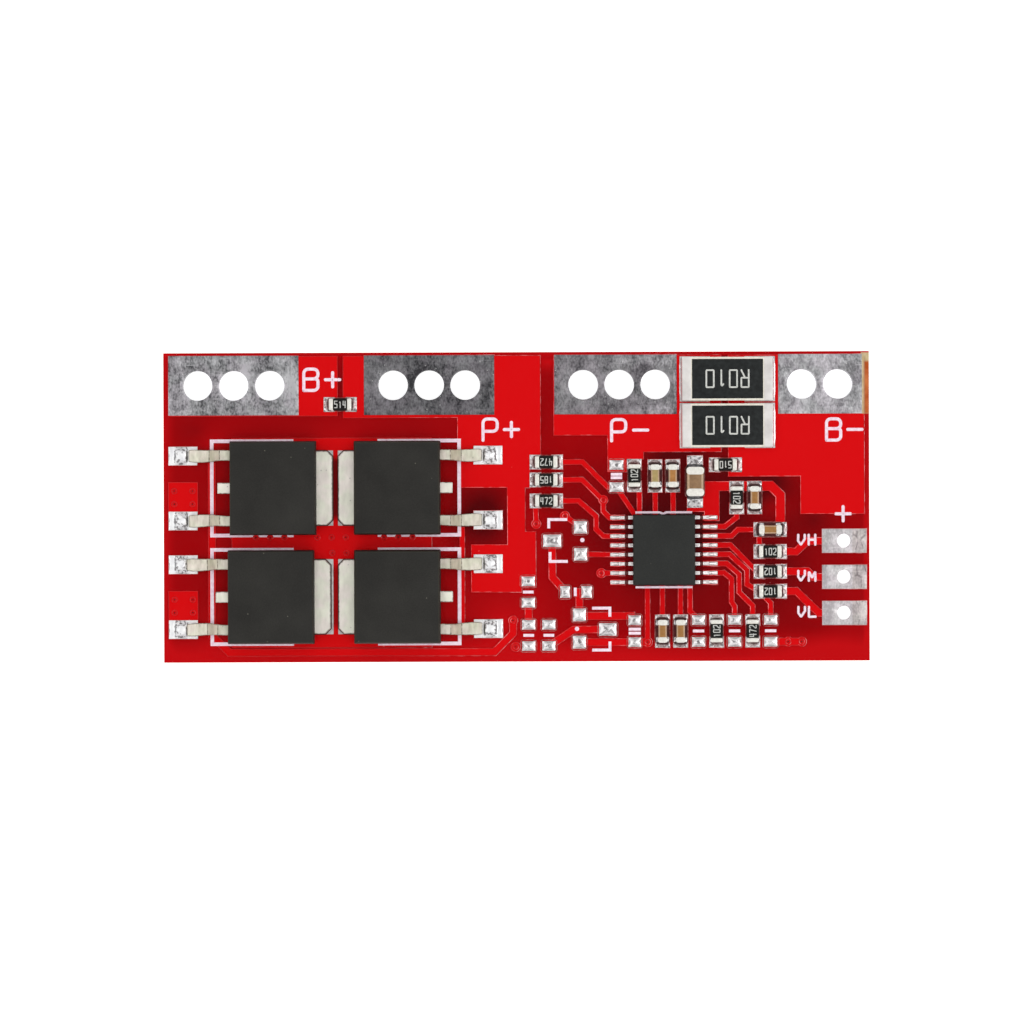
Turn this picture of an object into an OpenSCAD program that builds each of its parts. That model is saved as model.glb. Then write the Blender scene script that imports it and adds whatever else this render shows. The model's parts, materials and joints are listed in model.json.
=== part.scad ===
// Battery management board for a two-cell pack: power transistors on the left, controller on
// the right, power terminals along the far edge, cell taps down the right-hand edge.
// Origin: centre of the underside. +X along the length, +Y towards the terminals, +Z up.

/* [Board] */
// Length of the board
board_l = 49.7; // [45:0.1:70]
// Width of the board
board_w = 21.8; // [20:0.1:32]
// Thickness of the laminate
board_t = 1.6; // [1.0:0.1:3.2]
// Thickness of the copper foil with its mask
foil_t = 0.06; // [0.04:0.01:0.12]
// Thickness of the tinning on a land
tin_t = 0.04; // [0.04:0.01:0.08]
// Thickness of the legend ink
ink_t = 0.03; // [0.01:0.005:0.035]
// Gap from the copper to the board's edges
copper_edge = 0.25; // [0.15:0.05:0.4]
// Wall of the plating in a hole
plating_t = 0.06; // [0.03:0.01:0.1]

/* [Power terminals] */
// Distance between the holes of a terminal
terminal_pitch = 2.54; // [2.4:0.01:2.6]
// Diameter of a terminal hole, plated
terminal_hole_d = 2.1; // [1.0:0.05:2.2]
// Size of a terminal land across the board
terminal_w = 4.2; // [3:0.1:4.3]
// Gap from the lands to the far edge
terminal_edge = 0.2; // [0.15:0.05:0.3]
// Land beyond the last hole's centre
terminal_end = 2.05; // [1.6:0.05:2.1]
// The same where a shunt follows
terminal_end_short = 1.5; // [1.3:0.05:1.7]
// The same on the two-hole terminal
terminal_end_corner = 1.68; // [1.4:0.01:1.8]
// Gap from the B+ land to the board's end
b_plus_side = 0.35; // [0.25:0.05:0.6]
// Gap from the B- land to the board's end
b_minus_side = 0.5; // [0.3:0.05:0.8]
// Gap between the B+ land and the P+ land
terminal_gap = 4.6; // [4.2:0.1:5.5]

/* [Cell taps] */
// Distance between the taps
tap_pitch = 2.54; // [2.2:0.01:2.7]
// Diameter of a tap hole, plated
tap_hole_d = 1.0; // [0.6:0.05:1.3]
// Length of a tap land
tap_l = 3.15; // [2.4:0.05:3.3]
// Width of a tap land
tap_w = 1.7; // [1.5:0.05:2.0]
// Gap from the tap lands to the board's end
tap_side = 0.2; // [0.15:0.05:0.4]
// Height of the middle tap above the near edge
tap_rise = 5.9; // [5.4:0.1:7]

/* [Power transistors] */
// Length of the moulded body, from leads to tab
fet_l = 6.1; // [5.8:0.05:6.4]
// Width of the moulded body
fet_w = 6.6; // [6.0:0.05:7.0]
// Height of the moulded body
fet_h = 2.3; // [2.0:0.05:3]
// Draft of the moulded body on each side
fet_draft = 0.09; // [0.03:0.01:0.15]
// Distance between the two leads
fet_lead_pitch = 4.57; // [4.3:0.01:4.8]
// Width of a lead
fet_lead_w = 0.76; // [0.5:0.02:0.9]
// Thickness of the leads and the drain tab
fet_metal_t = 0.5; // [0.4:0.01:0.6]
// Height of the leads where they leave the body
fet_lead_rise = 0.9; // [0.7:0.05:1.2]
// Reach of the leads beyond the body
fet_lead_reach = 2.9; // [2.6:0.05:3.2]
// Length of a lead's flat foot
fet_foot_l = 1.45; // [1.0:0.05:1.6]
// Length of the cut-off middle leg
fet_stub_l = 0.85; // [0.4:0.05:1.1]
// Length of the drain tab beyond the body
fet_tab_l = 1.1; // [0.8:0.05:1.3]
// Width of the drain tab
fet_tab_w = 5.2; // [4.6:0.05:5.5]
// Corner cut of the drain tab
fet_tab_cut = 0.38; // [0.1:0.02:0.6]
// Length of a lead land
fet_land_l = 2.05; // [1.6:0.05:2.2]
// Width of a lead land
fet_land_w = 1.32; // [1.1:0.02:1.6]
// Part of the land under the lead's tip
fet_land_under = 0.6; // [0.4:0.05:0.8]
// Edge of the drain land around the tab
fet_land_rim = 0.05; // [0.02:0.01:0.12]
// Gap between facing drain tabs
fet_tab_gap = 0.42; // [0.35:0.01:0.8]
// Gap between the two rows of bodies
fet_row_gap = 1.05; // [0.9:0.05:1.2]
// Gap from the lower bodies to the near edge
fet_edge = 1.32; // [1.2:0.02:1.4]
// Gap from the lead lands to the board's end
fet_side = 0.35; // [0.3:0.01:0.6]
// How far the lower left transistor floated on its solder
fet_drift = 0.15; // [0:0.01:0.2]

/* [Controller] */
// Width of the moulded body, across the leads
ctrl_l = 4.4; // [4.2:0.05:4.6]
// Length of the moulded body, along the rows of leads
ctrl_w = 5.0; // [4.9:0.05:5.3]
// Height of the controller
ctrl_h = 1.05; // [0.9:0.05:1.2]
// Gap under the moulded body
ctrl_standoff = 0.1; // [0.05:0.01:0.15]
// Number of leads on a side
ctrl_pins = 8; // [4:1:8]
// Distance between the leads
ctrl_pitch = 0.65; // [0.6:0.01:0.66]
// Width of a lead
ctrl_lead_w = 0.25; // [0.18:0.01:0.3]
// Thickness of a lead
ctrl_lead_t = 0.13; // [0.1:0.01:0.16]
// Reach of the leads beyond the body
ctrl_reach = 1.0; // [0.9:0.02:1.1]
// Length of a lead's flat foot
ctrl_foot_l = 0.5; // [0.4:0.02:0.6]
// Length of a controller land
ctrl_land_l = 1.03; // [0.9:0.01:1.1]
// Width of a controller land
ctrl_land_w = 0.36; // [0.3:0.01:0.42]
// Land beyond the lead's tip
ctrl_land_toe = 0.58; // [0.4:0.02:0.65]
// Distance from the controller's centre to the board's end
ctrl_from_end = 14.48; // [14.4:0.02:14.6]
// Distance from the controller's centre to the near edge
ctrl_from_edge = 7.84; // [7.8:0.02:7.9]

/* [Current shunts] */
// Length of a shunt
shunt_l = 6.4; // [6.0:0.05:6.6]
// Width of a shunt
shunt_w = 3.1; // [2.8:0.05:3.2]
// Height of a shunt
shunt_h = 0.6; // [0.5:0.05:0.8]
// Length of a shunt's end cap
shunt_cap_l = 0.65; // [0.5:0.05:0.8]
// Length of a shunt land
shunt_land_l = 2.15; // [1.9:0.05:2.4]
// Land beyond the end cap
shunt_land_toe = 0.16; // [0.1:0.01:0.2]
// Gap between the two shunts
shunt_gap = 0.18; // [0.1:0.01:0.24]
// Gap from the upper shunt to the far edge
shunt_edge = 0.38; // [0.35:0.01:0.5]
// Distance from the shunts' centre to the board's end
shunt_from_end = 9.98; // [9.9:0.02:10.1]

/* [Chip parts] */
// Length of a chip part
chip_l = 1.6; // [1.5:0.02:1.7]
// Width of a chip part
chip_w = 0.82; // [0.7:0.02:0.9]
// Height of a chip resistor
resistor_h = 0.45; // [0.35:0.02:0.6]
// Height of a chip capacitor
capacitor_h = 0.8; // [0.5:0.02:0.9]
// Length of a chip's end cap
chip_cap_l = 0.3; // [0.2:0.02:0.4]
// Length of the large capacitor
large_l = 2.05; // [1.9:0.05:2.1]
// Width of the large capacitor
large_w = 1.27; // [1.2:0.01:1.3]
// Height of the large capacitor
large_h = 1.2; // [0.8:0.05:1.3]
// Length of the large capacitor's end cap
large_cap_l = 0.45; // [0.3:0.05:0.6]
// Thickness of an end cap over the body
cap_t = 0.03; // [0.02:0.01:0.05]
// Length of a chip land
chip_land_l = 0.8; // [0.7:0.02:0.85]
// Land beyond the chip's end
chip_land_toe = 0.37; // [0.3:0.01:0.4]
// Land beyond the chip's sides
chip_land_side = 0.11; // [0.05:0.01:0.12]
// Height of the solder on a chip's end, as a share of the chip's height
solder_climb = 0.7; // [0.4:0.05:0.9]

/* [Vias, tracks and legend] */
// Diameter of a via's hole
via_d = 0.25; // [0.2:0.01:0.3]
// Ring of foil around a via
via_ring = 0.14; // [0.1:0.01:0.16]
// Width of a signal track
track_w = 0.34; // [0.2:0.02:0.36]
// Width of a wide track
wide_w = 0.5; // [0.4:0.02:0.56]
// Width of the supply track
supply_w = 0.65; // [0.5:0.05:0.7]
// Width of a transistor's outline in the legend
outline_w = 0.25; // [0.15:0.01:0.3]
// Width of the other legend lines
legend_w = 0.2; // [0.12:0.01:0.24]
// Height of the solder cushion on a bare land
cushion_h = 0.14; // [0.08:0.01:0.2]
// Height of the solder on a transistor's lead land
mound_h = 0.36; // [0.25:0.01:0.45]

/* [Hidden] */
$fn = 64;

west = -board_l / 2;
east = board_l / 2;
south = -board_w / 2;
north = board_w / 2;
land_z = board_t + foil_t;     // top of the foil
seat_z = land_z + tin_t;       // top of the lands, where the parts stand
skin_t = foil_t + tin_t;       // copper and tin together
eps = 1;                       // how far a cut runs past the solid
pour_gap = 0.2;                // gap between neighbouring pours
mound_rim = 0.03;              // bare edge of a land around its solder
toe_fill = 0.9;                // share of a land's toe that the solder covers
fine_fn = 160;
small_fn = 24;

// The standard parts keep their sizes, so the distances between them take up what the board gains
// or loses: across the whole board, and along the part of it that the transistors leave free
spread_y = board_w / 21.8;

fet_tip = fet_l / 2 + fet_lead_reach;
fet_land_x = fet_tip - fet_land_under + fet_land_l / 2;
fet_rail = fet_l / 2 + 1.3;    // the gate rail and the outline, from the body's centre
fet_outline_y = fet_w / 2 + 0.02;
fet_lead_root = 1.2;           // length of a lead held in the body
fet_left = west + fet_side + fet_land_x + fet_land_l / 2;
fet_right = fet_left + fet_l + 2 * fet_tab_l + fet_tab_gap;
fet_lower = south + fet_edge * spread_y + fet_w / 2;
fet_upper = fet_lower + fet_w + fet_row_gap * spread_y;
// Transistors: [x, y, which way the tab points, drift on the solder]
fets = [[fet_left, fet_upper, 1, 0], [fet_right, fet_upper, -1, 0],
        [fet_left, fet_lower, 1, -fet_drift], [fet_right, fet_lower, -1, 0]];
paddle_in = 1.2;               // reach of the drain plate behind the body's centre
fet_die_w = 3;
fet_die_t = 0.25;
function fet_at(f, u, v) = [f[0] + f[2] * u, f[1] + f[2] * v];
lead_lands_end = fet_right + fet_land_x + fet_land_l / 2;
spread_x = (east - lead_lands_end) / 25.83;

// Terminals: [start of the land, holes, first margin, last margin]
function terminal_l(t) = t[2] + (t[1] - 1) * terminal_pitch + t[3];
shunt_x = east - shunt_from_end;
shunt_land_x = shunt_l / 2 + shunt_land_toe - shunt_land_l / 2;
shunt_land_w = shunt_w + shunt_gap / 2;
shunt_row = shunt_w + shunt_gap;
shunt_west = shunt_x - shunt_land_x - shunt_land_l / 2;
terminal_y = north - terminal_edge - terminal_w / 2;
terminal_south = terminal_y - terminal_w / 2;
b_plus_span = 2 * terminal_end + 2 * terminal_pitch;
p_minus_span = terminal_end + terminal_end_short + 2 * terminal_pitch;
b_minus_span = 2 * terminal_end_corner + terminal_pitch;
b_plus = [west + b_plus_side, 3, terminal_end, terminal_end];
p_plus = [b_plus[0] + b_plus_span + terminal_gap * spread_x, 3, terminal_end, terminal_end];
p_minus = [shunt_west - pour_gap - p_minus_span, 3, terminal_end, terminal_end_short];
b_minus = [east - b_minus_side - b_minus_span, 2, terminal_end_corner, terminal_end_corner];
terminals = [b_plus, p_plus, p_minus, b_minus];
function terminal_holes(t) = [for (i = [0:t[1] - 1]) [t[0] + t[2] + i * terminal_pitch, terminal_y]];

tap_x = east - tap_side - tap_l / 2;
taps = [for (i = [1, 0, -1]) [tap_x, south + tap_rise * spread_y + i * tap_pitch]];

ctrl_x = east - ctrl_from_end * spread_x;
ctrl_y = south + ctrl_from_edge * spread_y;
ctrl_tip = ctrl_l / 2 + ctrl_reach;
ctrl_land_x = ctrl_tip + ctrl_land_toe - ctrl_land_l / 2;
ctrl_draft = 0.07;
ctrl_lead_root = 0.35;         // length of a lead held in the body
die_plate_size = [2.6, 3.2];
die_plate_z = 0.3;
ctrl_die_size = [1.9, 2.3];
ctrl_die_t = 0.2;
// A place on the controller's side of the board, and one beside the controller itself
function at(x, y) = [ctrl_x + x * spread_x, ctrl_y + y * spread_y];
function by_ctrl(x, y) = [ctrl_x + x, ctrl_y + y];
// Leads are numbered down the left side and up the right side
function pin_side(n) = n <= ctrl_pins ? -1 : 1;
function pin_row(n) = n <= ctrl_pins ? n - 1 : 2 * ctrl_pins - n;
function pin_y(n) = ((ctrl_pins - 1) / 2 - pin_row(n)) * ctrl_pitch;
function pin(n) = by_ctrl(pin_side(n) * ctrl_land_x, pin_y(n));

// Chip parts: [x, y, turn]
sense = [p_plus[0] - 1.67, terminal_south + 0.75, 0];
row_y = -5.72;                 // the near row of chips, from the controller's centre
row_pitch = 1.27;
function row_x(i) = -0.12 + i * row_pitch;
function chip(x, y, turn) = concat(at(x, y), [turn]);
resistors = [sense, chip(-8.27, 6.21, 0), chip(-8.27, 4.96, 0), chip(-8.27, 3.48, 0),
             chip(-2.07, 5.24, 90), chip(4.35, 5.98, 0), chip(5.13, 3.66, 90),
             chip(7.48, -0.14, 0), chip(7.48, -1.54, 0), chip(7.48, -2.94, 0),
             chip(row_x(3), row_y, 90), chip(row_x(5), row_y, 90)];
capacitors = [chip(-0.61, 5.21, 90), chip(0.63, 5.21, 90), chip(6.39, 3.66, 90),
              chip(7.48, 1.41, 0), chip(row_x(0), row_y, 90), chip(row_x(1), row_y, 90)];
large = chip(2.2, 4.8, 90);
shunts = [for (i = [0, 1]) [shunt_x, north - shunt_edge - shunt_w / 2 - i * shunt_row, 0]];
chip_land_x = chip_l / 2 + chip_land_toe - chip_land_l / 2;
large_land_l = 1.0;
large_land_w = large_w - 0.15;
large_land_toe = 0.82;
large_land_x = large_l / 2 + large_land_toe - large_land_l / 2;
function chip_end(c, side, reach) = [c[0] + side * reach * cos(c[2]), c[1] + side * reach * sin(c[2])];
function chip_land(c, side) = chip_end(c, side, chip_land_x);

// A land is [x, y, size in x, size in y]
function turned(c, w, h) = c[2] == 0 ? [w, h] : [h, w];
function end_lands(c, reach, w, h) = [for (s = [-1, 1]) concat(chip_end(c, s, reach), turned(c, w, h))];
chip_lands = [for (c = concat(resistors, capacitors))
              each end_lands(c, chip_land_x, chip_land_l, chip_w + 2 * chip_land_side)];
large_lands = end_lands(large, large_land_x, large_land_l, large_land_w);
shunt_lands = [for (c = shunts) each end_lands(c, shunt_land_x, shunt_land_l, shunt_land_w)];
ctrl_lands = [for (n = [1:2 * ctrl_pins]) concat(pin(n), [ctrl_land_l, ctrl_land_w])];
lead_lands = [for (f = fets, s = [1, -1])
              concat(fet_at(f, -fet_land_x, s * fet_lead_pitch / 2), [fet_land_l, fet_land_w])];
drain_in = paddle_in + 0.2;
drain_out = fet_l / 2 + fet_tab_l + fet_land_rim;
drain_lands = [for (f = fets) concat(fet_at(f, (drain_out - drain_in) / 2, 0),
               [drain_out + drain_in, fet_tab_w + 2 * fet_land_rim])];
part_lands = concat(lead_lands, drain_lands, ctrl_lands, chip_lands, large_lands, shunt_lands);

// Bare lands of the parts left unfitted, from the controller's centre
function pair(x, y, apart, w, h) = [for (s = [1, -1]) concat(at(x, y) + [0, s * apart / 2], [w, h])];
spare_w = 0.95;
spare_h = 0.7;
spare_apart = 1.54;
fork_left = -7.87;             // the two three-land footprints
fork_right = -5.87;
fork_a = concat([concat(at(fork_left, 0.66), [1.3, 0.9])], pair(fork_right, 0.66, 1.9, spare_w, 0.9));
fork_b = concat([concat(at(-3.97, -5.59), [1.25, 0.9])], pair(-5.97, -5.52, 1.92, spare_w, 0.92));
bar_pair = [concat(at(-6.97, -2.94), [0.7, 0.85]), concat(at(-5.45, -2.94), [0.75, 0.85])];
spare_upper = pair(-3.32, 5.21, 1.56, 1.0, spare_h);
spare_rows = [for (i = [2, 4, 6]) pair(row_x(i), row_y, spare_apart, spare_w, spare_h)];
spare_left = [pair(-9.56, -2.94, 1.5, spare_w, spare_h), pair(-9.54, -5.99, 1.5, spare_w, spare_h),
              pair(-8.12, -5.99, 1.5, spare_w, spare_h)];
spare_fork = pair(-2.07, row_y, spare_apart, 0.9, spare_h);
spare_lands = concat(fork_a, fork_b, bar_pair, spare_upper, spare_fork,
                     [for (p = concat(spare_rows, spare_left)) each p]);

// Vias: on the transistors' side and on the controller's side
fet_via_pitch = 1.0;
vias_power = concat(
  [for (f = [fets[0], fets[2]], i = [0, 1], j = [0, 1])
    fet_at(f, -fet_land_x - 0.62 + i * 1.28, -0.18 - j * 0.92)],
  [for (i = [0:2]) [fet_left - 1.25 + i * fet_via_pitch, (fet_upper + fet_lower) / 2 + 0.35]],
  [for (i = [-1:1]) [fet_right - 4.65 + i * fet_via_pitch, (fet_upper + fet_lower) / 2 + 0.35]],
  [for (i = [-1:1]) [fet_right + 0.05 + i * fet_via_pitch, (fet_upper + fet_lower) / 2 + 0.35]],
  [for (i = [-1:0]) [fet_right - 3.6 + i * fet_via_pitch, (fet_upper + fet_lower) / 2 - 0.75]]);
via_gate = [fet_right + 8.1, fet_lower - 1.72];
via_sense = at(-9.0, 1.86);
via_fork = at(-6.97, 2.41);
via_first = at(-4.27, 3.53);
via_seventh = [ctrl_x - 4.42, pin(7)[1]];
via_row = at(-1.17, row_y) - [0, spare_apart / 2];
via_out = at(9.68, row_y) - [0, spare_apart / 2];
vias = concat(vias_power, [via_gate, via_sense, via_fork, via_first, via_seventh, via_row, via_out,
                           via_out - [0.95, 0], at(-10.47, -6.79)]);

// Steps of the P+ pour's right-hand side, from the controller's centre
step_x = -8.67;
step_y = 5.86;
notch_y = 1.31;
foot_y = -2.94;

// Tracks: [width, points]
function jog(a, b, lead) = [a, [a[0] + lead, a[1]], [a[0] + lead + abs(b[1] - a[1]), b[1]], b];
gate_y = south + 0.7;
under = ctrl_w / 2 - 0.6;      // tracks that end under the controller
tracks_power = [
  [wide_w, [fet_at(fets[0], -fet_rail, fet_lead_pitch / 2 - 0.5), [fet_left - fet_rail, gate_y + 1.2],
         [fet_left - fet_rail + 1.2, gate_y], [via_gate[0] - 1.3, gate_y],
         [via_gate[0], gate_y + 1.3], via_gate]],
  [track_w, [[fet_right + 4.55, fet_upper - fet_lead_pitch / 2 - 0.5],
             [fet_right + 4.55, fet_lower - fet_lead_pitch / 2 + 0.4]]]];
tracks_left = [
  [track_w, jog(chip_land(resistors[1], 1), [spare_upper[1][0], spare_upper[1][1]], 1.78)],
  [track_w, [[spare_upper[1][0], spare_upper[1][1]], at(-2.02, 2.46)]],
  [track_w, jog(chip_land(resistors[2], 1), via_first, 1.75)],
  [track_w, [via_first, [via_first[0], pin(1)[1] + 0.45], [via_first[0] + 0.45, pin(1)[1]], pin(1)]],
  [track_w, [chip_land(resistors[3], 1), chip_land(resistors[3], 1) + [1.5, 0],
             by_ctrl(-4.77, 2.4), by_ctrl(-4.77, pin_y(3) + 0.5), by_ctrl(-4.27, pin_y(3)), pin(3)]],
  [track_w, [chip_land(resistors[3], -1), via_sense]],
  [track_w, [via_fork, [fork_a[1][0], fork_a[1][1]]]],
  [wide_w, [[fork_a[0][0], fork_a[0][1]], at(fork_left, -1.9), [bar_pair[0][0], bar_pair[0][1]]]],
  [track_w, [[fork_a[2][0], fork_a[2][1]], pin(5)]],
  [track_w, [via_seventh, pin(7)]],
  [wide_w, [[fork_b[1][0], fork_b[1][1]], at(-5.97, -2.94), [bar_pair[1][0], bar_pair[1][1]]]],
  [wide_w, [[fork_b[1][0], fork_b[1][1] - 0.08], [spare_fork[0][0], fork_b[1][1] - 0.08]]],
  [wide_w, [[fork_b[0][0], fork_b[0][1]], at(-6.37, -5.59), [spare_left[2][1][0], spare_left[2][1][1]]]],
  [wide_w, [[fork_b[2][0], fork_b[2][1]], via_row]],
  [wide_w, [[spare_left[0][1][0], spare_left[0][1][1]], [spare_left[1][0][0], spare_left[1][0][1]]]]];
tracks_under = concat(
  [for (x = [-1.72, -0.6, 0.66]) [track_w, [at(x, 4.5), [at(x, 0)[0], ctrl_y + under]]]],
  [for (i = [0, 1]) [track_w, [at(row_x(i), row_y) + [0, 0.8], [at(row_x(i), 0)[0], ctrl_y - under]]]],
  [[track_w, [via_row, [via_row[0], ctrl_y - under]]],
   [track_w, [[at(row_x(2), 0)[0] - 0.6, ctrl_y - under], at(row_x(2), row_y) + [-0.6, 1.4],
               at(row_x(2), row_y) + [0, 0.8]]]]);
tracks_right = [
  [track_w, [pin(15), pin(15) + [1.0, 0], [resistors[6][0], pin(15)[1] + 0.65], chip_land(resistors[6], -1)]],
  [track_w, jog(pin(14), chip_land(capacitors[3], -1), 1.5)],
  [track_w, jog(pin(13), chip_land(resistors[8], -1), 1.4)],
  [track_w, [pin(12), pin(12) + [1.35, 0], [resistors[9][0] - 1.65, pin(12)[1] - 1.12],
             [resistors[9][0] - 1.65, resistors[9][1] + 0.5], chip_land(resistors[9], -1)]],
  [track_w, [pin(11), pin(11) + [1.15, 0], by_ctrl(5.28, pin_y(11) - 0.77), by_ctrl(5.28, -3.0),
             at(row_x(5), -3.95), chip_land(resistors[11], 1)]],
  [track_w, [pin(10), pin(10) + [0.95, 0], by_ctrl(4.75, pin_y(10) - 0.42), by_ctrl(4.75, -3.7),
             at(row_x(4), -4.0), [spare_rows[1][0][0], spare_rows[1][0][1]]]],
  [track_w, [chip_land(capacitors[3], -1), chip_land(resistors[7], -1)]],
  [track_w, [chip_land(resistors[9], -1), [spare_rows[2][0][0], resistors[9][1] - 0.83],
             [spare_rows[2][0][0], spare_rows[2][0][1]]]],
  [wide_w, [[spare_rows[2][1][0], spare_rows[2][1][1]], via_out]],
  [wide_w, [chip_land(resistors[7], 1), [taps[0][0] - 3.4, resistors[7][1]],
            [taps[0][0] - 2.6, taps[0][1]], taps[0]]],
  [wide_w, [chip_land(resistors[8], 1), [taps[1][0] - 2.6, resistors[8][1]],
            [taps[1][0] - 2.2, taps[1][1]], taps[1]]],
  [wide_w, [chip_land(resistors[9], 1), [taps[2][0] - 3.4, resistors[9][1]],
            [taps[2][0] - 1.8, taps[2][1]], taps[2]]],
  [supply_w, [at(3.3, 4.48), at(7.55, 4.48), at(8.2, 3.83), at(8.2, 1.75)]]];
tracks = concat(tracks_power, tracks_left, tracks_under, tracks_right);

// Outline of a line of a given width through points, with mitred corners
function unit(v) = v / norm(v);
function across(a, b) = let (d = unit(b - a)) [-d[1], d[0]];
function mitre(p, i) =
  i == 0 ? across(p[0], p[1])
  : i == len(p) - 1 ? across(p[i - 1], p[i])
  : let (a = across(p[i - 1], p[i]), m = unit(a + across(p[i], p[i + 1]))) m / (m * a);
function ribbon(p, w) = concat(
  [for (i = [0:len(p) - 1]) p[i] + mitre(p, i) * w / 2],
  [for (i = [len(p) - 1:-1:0]) p[i] - mitre(p, i) * w / 2]);

module patch(x0, y0, x1, y1) translate([x0, y0]) square([x1 - x0, y1 - y0]);
module footprint(l) translate([l[0] - l[2] / 2, l[1] - l[3] / 2]) square([l[2], l[3]]);
module slab(l, z0, z1) translate([0, 0, z0]) linear_extrude(z1 - z0) footprint(l);
module lands(list) color([0.78, 0.78, 0.76]) for (l = list) slab(l, land_z, seat_z);

module pours() {
  top = north - copper_edge;
  patch(west + b_plus_side, terminal_south - 0.05, sense[0] - pour_gap, top);
  // P+ pour, down past the sources of the right-hand transistors
  sources_w = fet_right + fet_rail - 0.12;
  sources_e = sources_w + 3.5;
  polygon([[sense[0] + pour_gap, top], [at(step_x, 0)[0], top], at(step_x, step_y),
    at(step_x - 0.75, step_y), at(step_x - 0.75, step_y - 1.45), at(step_x - 1.1, step_y - 1.45),
    at(step_x - 1.1, notch_y), at(step_x - 0.35, notch_y), at(step_x - 0.35, foot_y + 0.35),
    at(step_x - 1.35, foot_y + 0.35), at(step_x - 1.35, foot_y), [sources_w + 0.95, at(0, foot_y)[1]],
    [sources_w + 0.95, fet_lower + fet_w / 2 + 0.33], [sources_e, fet_lower + fet_w / 2 + 0.33],
    [sources_e, fet_upper], [sources_w, fet_upper],
    [sources_w, terminal_south - 0.2], [sense[0] + pour_gap, terminal_south - 0.2]]);
  patch(fet_left - 2.95, fet_lower - fet_w / 2 - 0.27, fet_right + 2.4, fet_upper + fet_w / 2 + 0.22);
  // P- pour
  shelf_y = terminal_south - 1.47;
  polygon([[p_minus[0] - 0.05, top], [p_minus[0] - 0.05, shelf_y], [at(-3.95, 0)[0], shelf_y],
    at(-3.95, 5.5), at(-2.6, 5.5), at(-2.6, 6.4), at(-1.42, 6.4), at(-1.42, 6.91),
    [shunt_x - 0.45, at(0, 6.91)[1]], [shunt_x - 0.45, top]]);
  // B- pour
  b_minus_east = east - b_minus_side + 0.15;
  b_minus_foot = 2.51;
  b_minus_step = 5.16;
  polygon([[shunt_x + 0.05, top], [b_minus_east, top], [b_minus_east, at(0, b_minus_foot)[1]],
    at(9.63, b_minus_foot), at(9.63, b_minus_step), [shunt_x + 0.05, at(0, b_minus_step)[1]]]);
  // Supply pour beside the large capacitor
  supply_east = large[0] + 1.7;
  patch(large[0] - large_land_w / 2, large[1] - 2.12, supply_east, large[1] - 0.7);
  patch(large[0] + 0.65, large[1] - 2.75, supply_east, large[1]);
  for (f = [fets[0], fets[2]])
    patch(f[0] - fet_land_x - fet_land_l / 2, f[1] - 1.8, f[0] - fet_land_x + fet_land_l / 2, f[1] + 0.42);
}

module barrels(z0, z1, wall) {
  for (t = terminals, p = terminal_holes(t))
    translate([p[0], p[1], z0]) cylinder(d = terminal_hole_d + 2 * wall, h = z1 - z0);
  for (p = taps) translate([p[0], p[1], z0]) cylinder(d = tap_hole_d + 2 * wall, h = z1 - z0);
  for (p = vias) translate([p[0], p[1], z0]) cylinder(d = via_d + 2 * wall, h = z1 - z0);
}

module printed_board() color([0.72, 0.03, 0.05]) difference() {
  translate([west, south, 0]) cube([board_l, board_w, board_t]);
  barrels(-eps, board_t + eps, plating_t);
  for (t = terminals) slab(terminal_land(t), -eps, skin_t);
  for (p = taps) slab(tap_land(p), -eps, skin_t);
}

module land_shapes() {
  for (l = concat(part_lands, spare_lands)) footprint(l);
  for (t = terminals) footprint(terminal_land(t));
  for (p = taps) footprint(tap_land(p));
}

module copper_shapes() {
  pours();
  land_shapes();
  for (t = tracks) polygon(ribbon(t[1], t[0]));
  for (v = vias) translate(v) circle(d = via_d + 2 * (plating_t + via_ring));
}

module top_copper() color([0.86, 0.06, 0.08]) difference() {
  translate([0, 0, board_t]) linear_extrude(foil_t) copper_shapes();
  barrels(board_t - eps, land_z + eps, plating_t);
}

function terminal_land(t) = [t[0] + terminal_l(t) / 2, terminal_y, terminal_l(t), terminal_w];
function tap_land(p) = [p[0], p[1], tap_l, tap_w];

// A land above, a land below and the plated barrels between them, in one piece
module plated(land, holes, d) color([0.7, 0.7, 0.68]) difference() {
  union() {
    slab(land, land_z, seat_z);
    slab(land, 0, skin_t);
    for (p = holes) translate([p[0], p[1], 0]) cylinder(d = d + 2 * plating_t, h = seat_z);
  }
  for (p = holes) translate([p[0], p[1], -eps]) cylinder(d = d, h = seat_z + 2 * eps);
}
module terminal(t) plated(terminal_land(t), terminal_holes(t), terminal_hole_d);
module tap(p) plated(tap_land(p), [p], tap_hole_d);

module via_barrels() color([0.75, 0.6, 0.35]) for (v = vias) translate([v[0], v[1], 0]) difference() {
  cylinder(d = via_d + 2 * plating_t, h = land_z, $fn = small_fn);
  translate([0, 0, -eps]) cylinder(d = via_d, h = land_z + 2 * eps, $fn = small_fn);
}

// Legend lines: [width, points], around the transistors and on the controller's side
outline_end = 1.4;             // where the transistors' outlines stop, past the body's centre
thin_w = 0.15;                 // width of the controller's own marks
dot_d = 0.3;
function spot(l) = [l[0], l[1]];
function bar(a, b, long, shift) = let (m = (a + b) / 2)
  [legend_w, [[m[0] - long / 2, m[1] + shift], [m[0] + long / 2, m[1] + shift]]];
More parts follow.
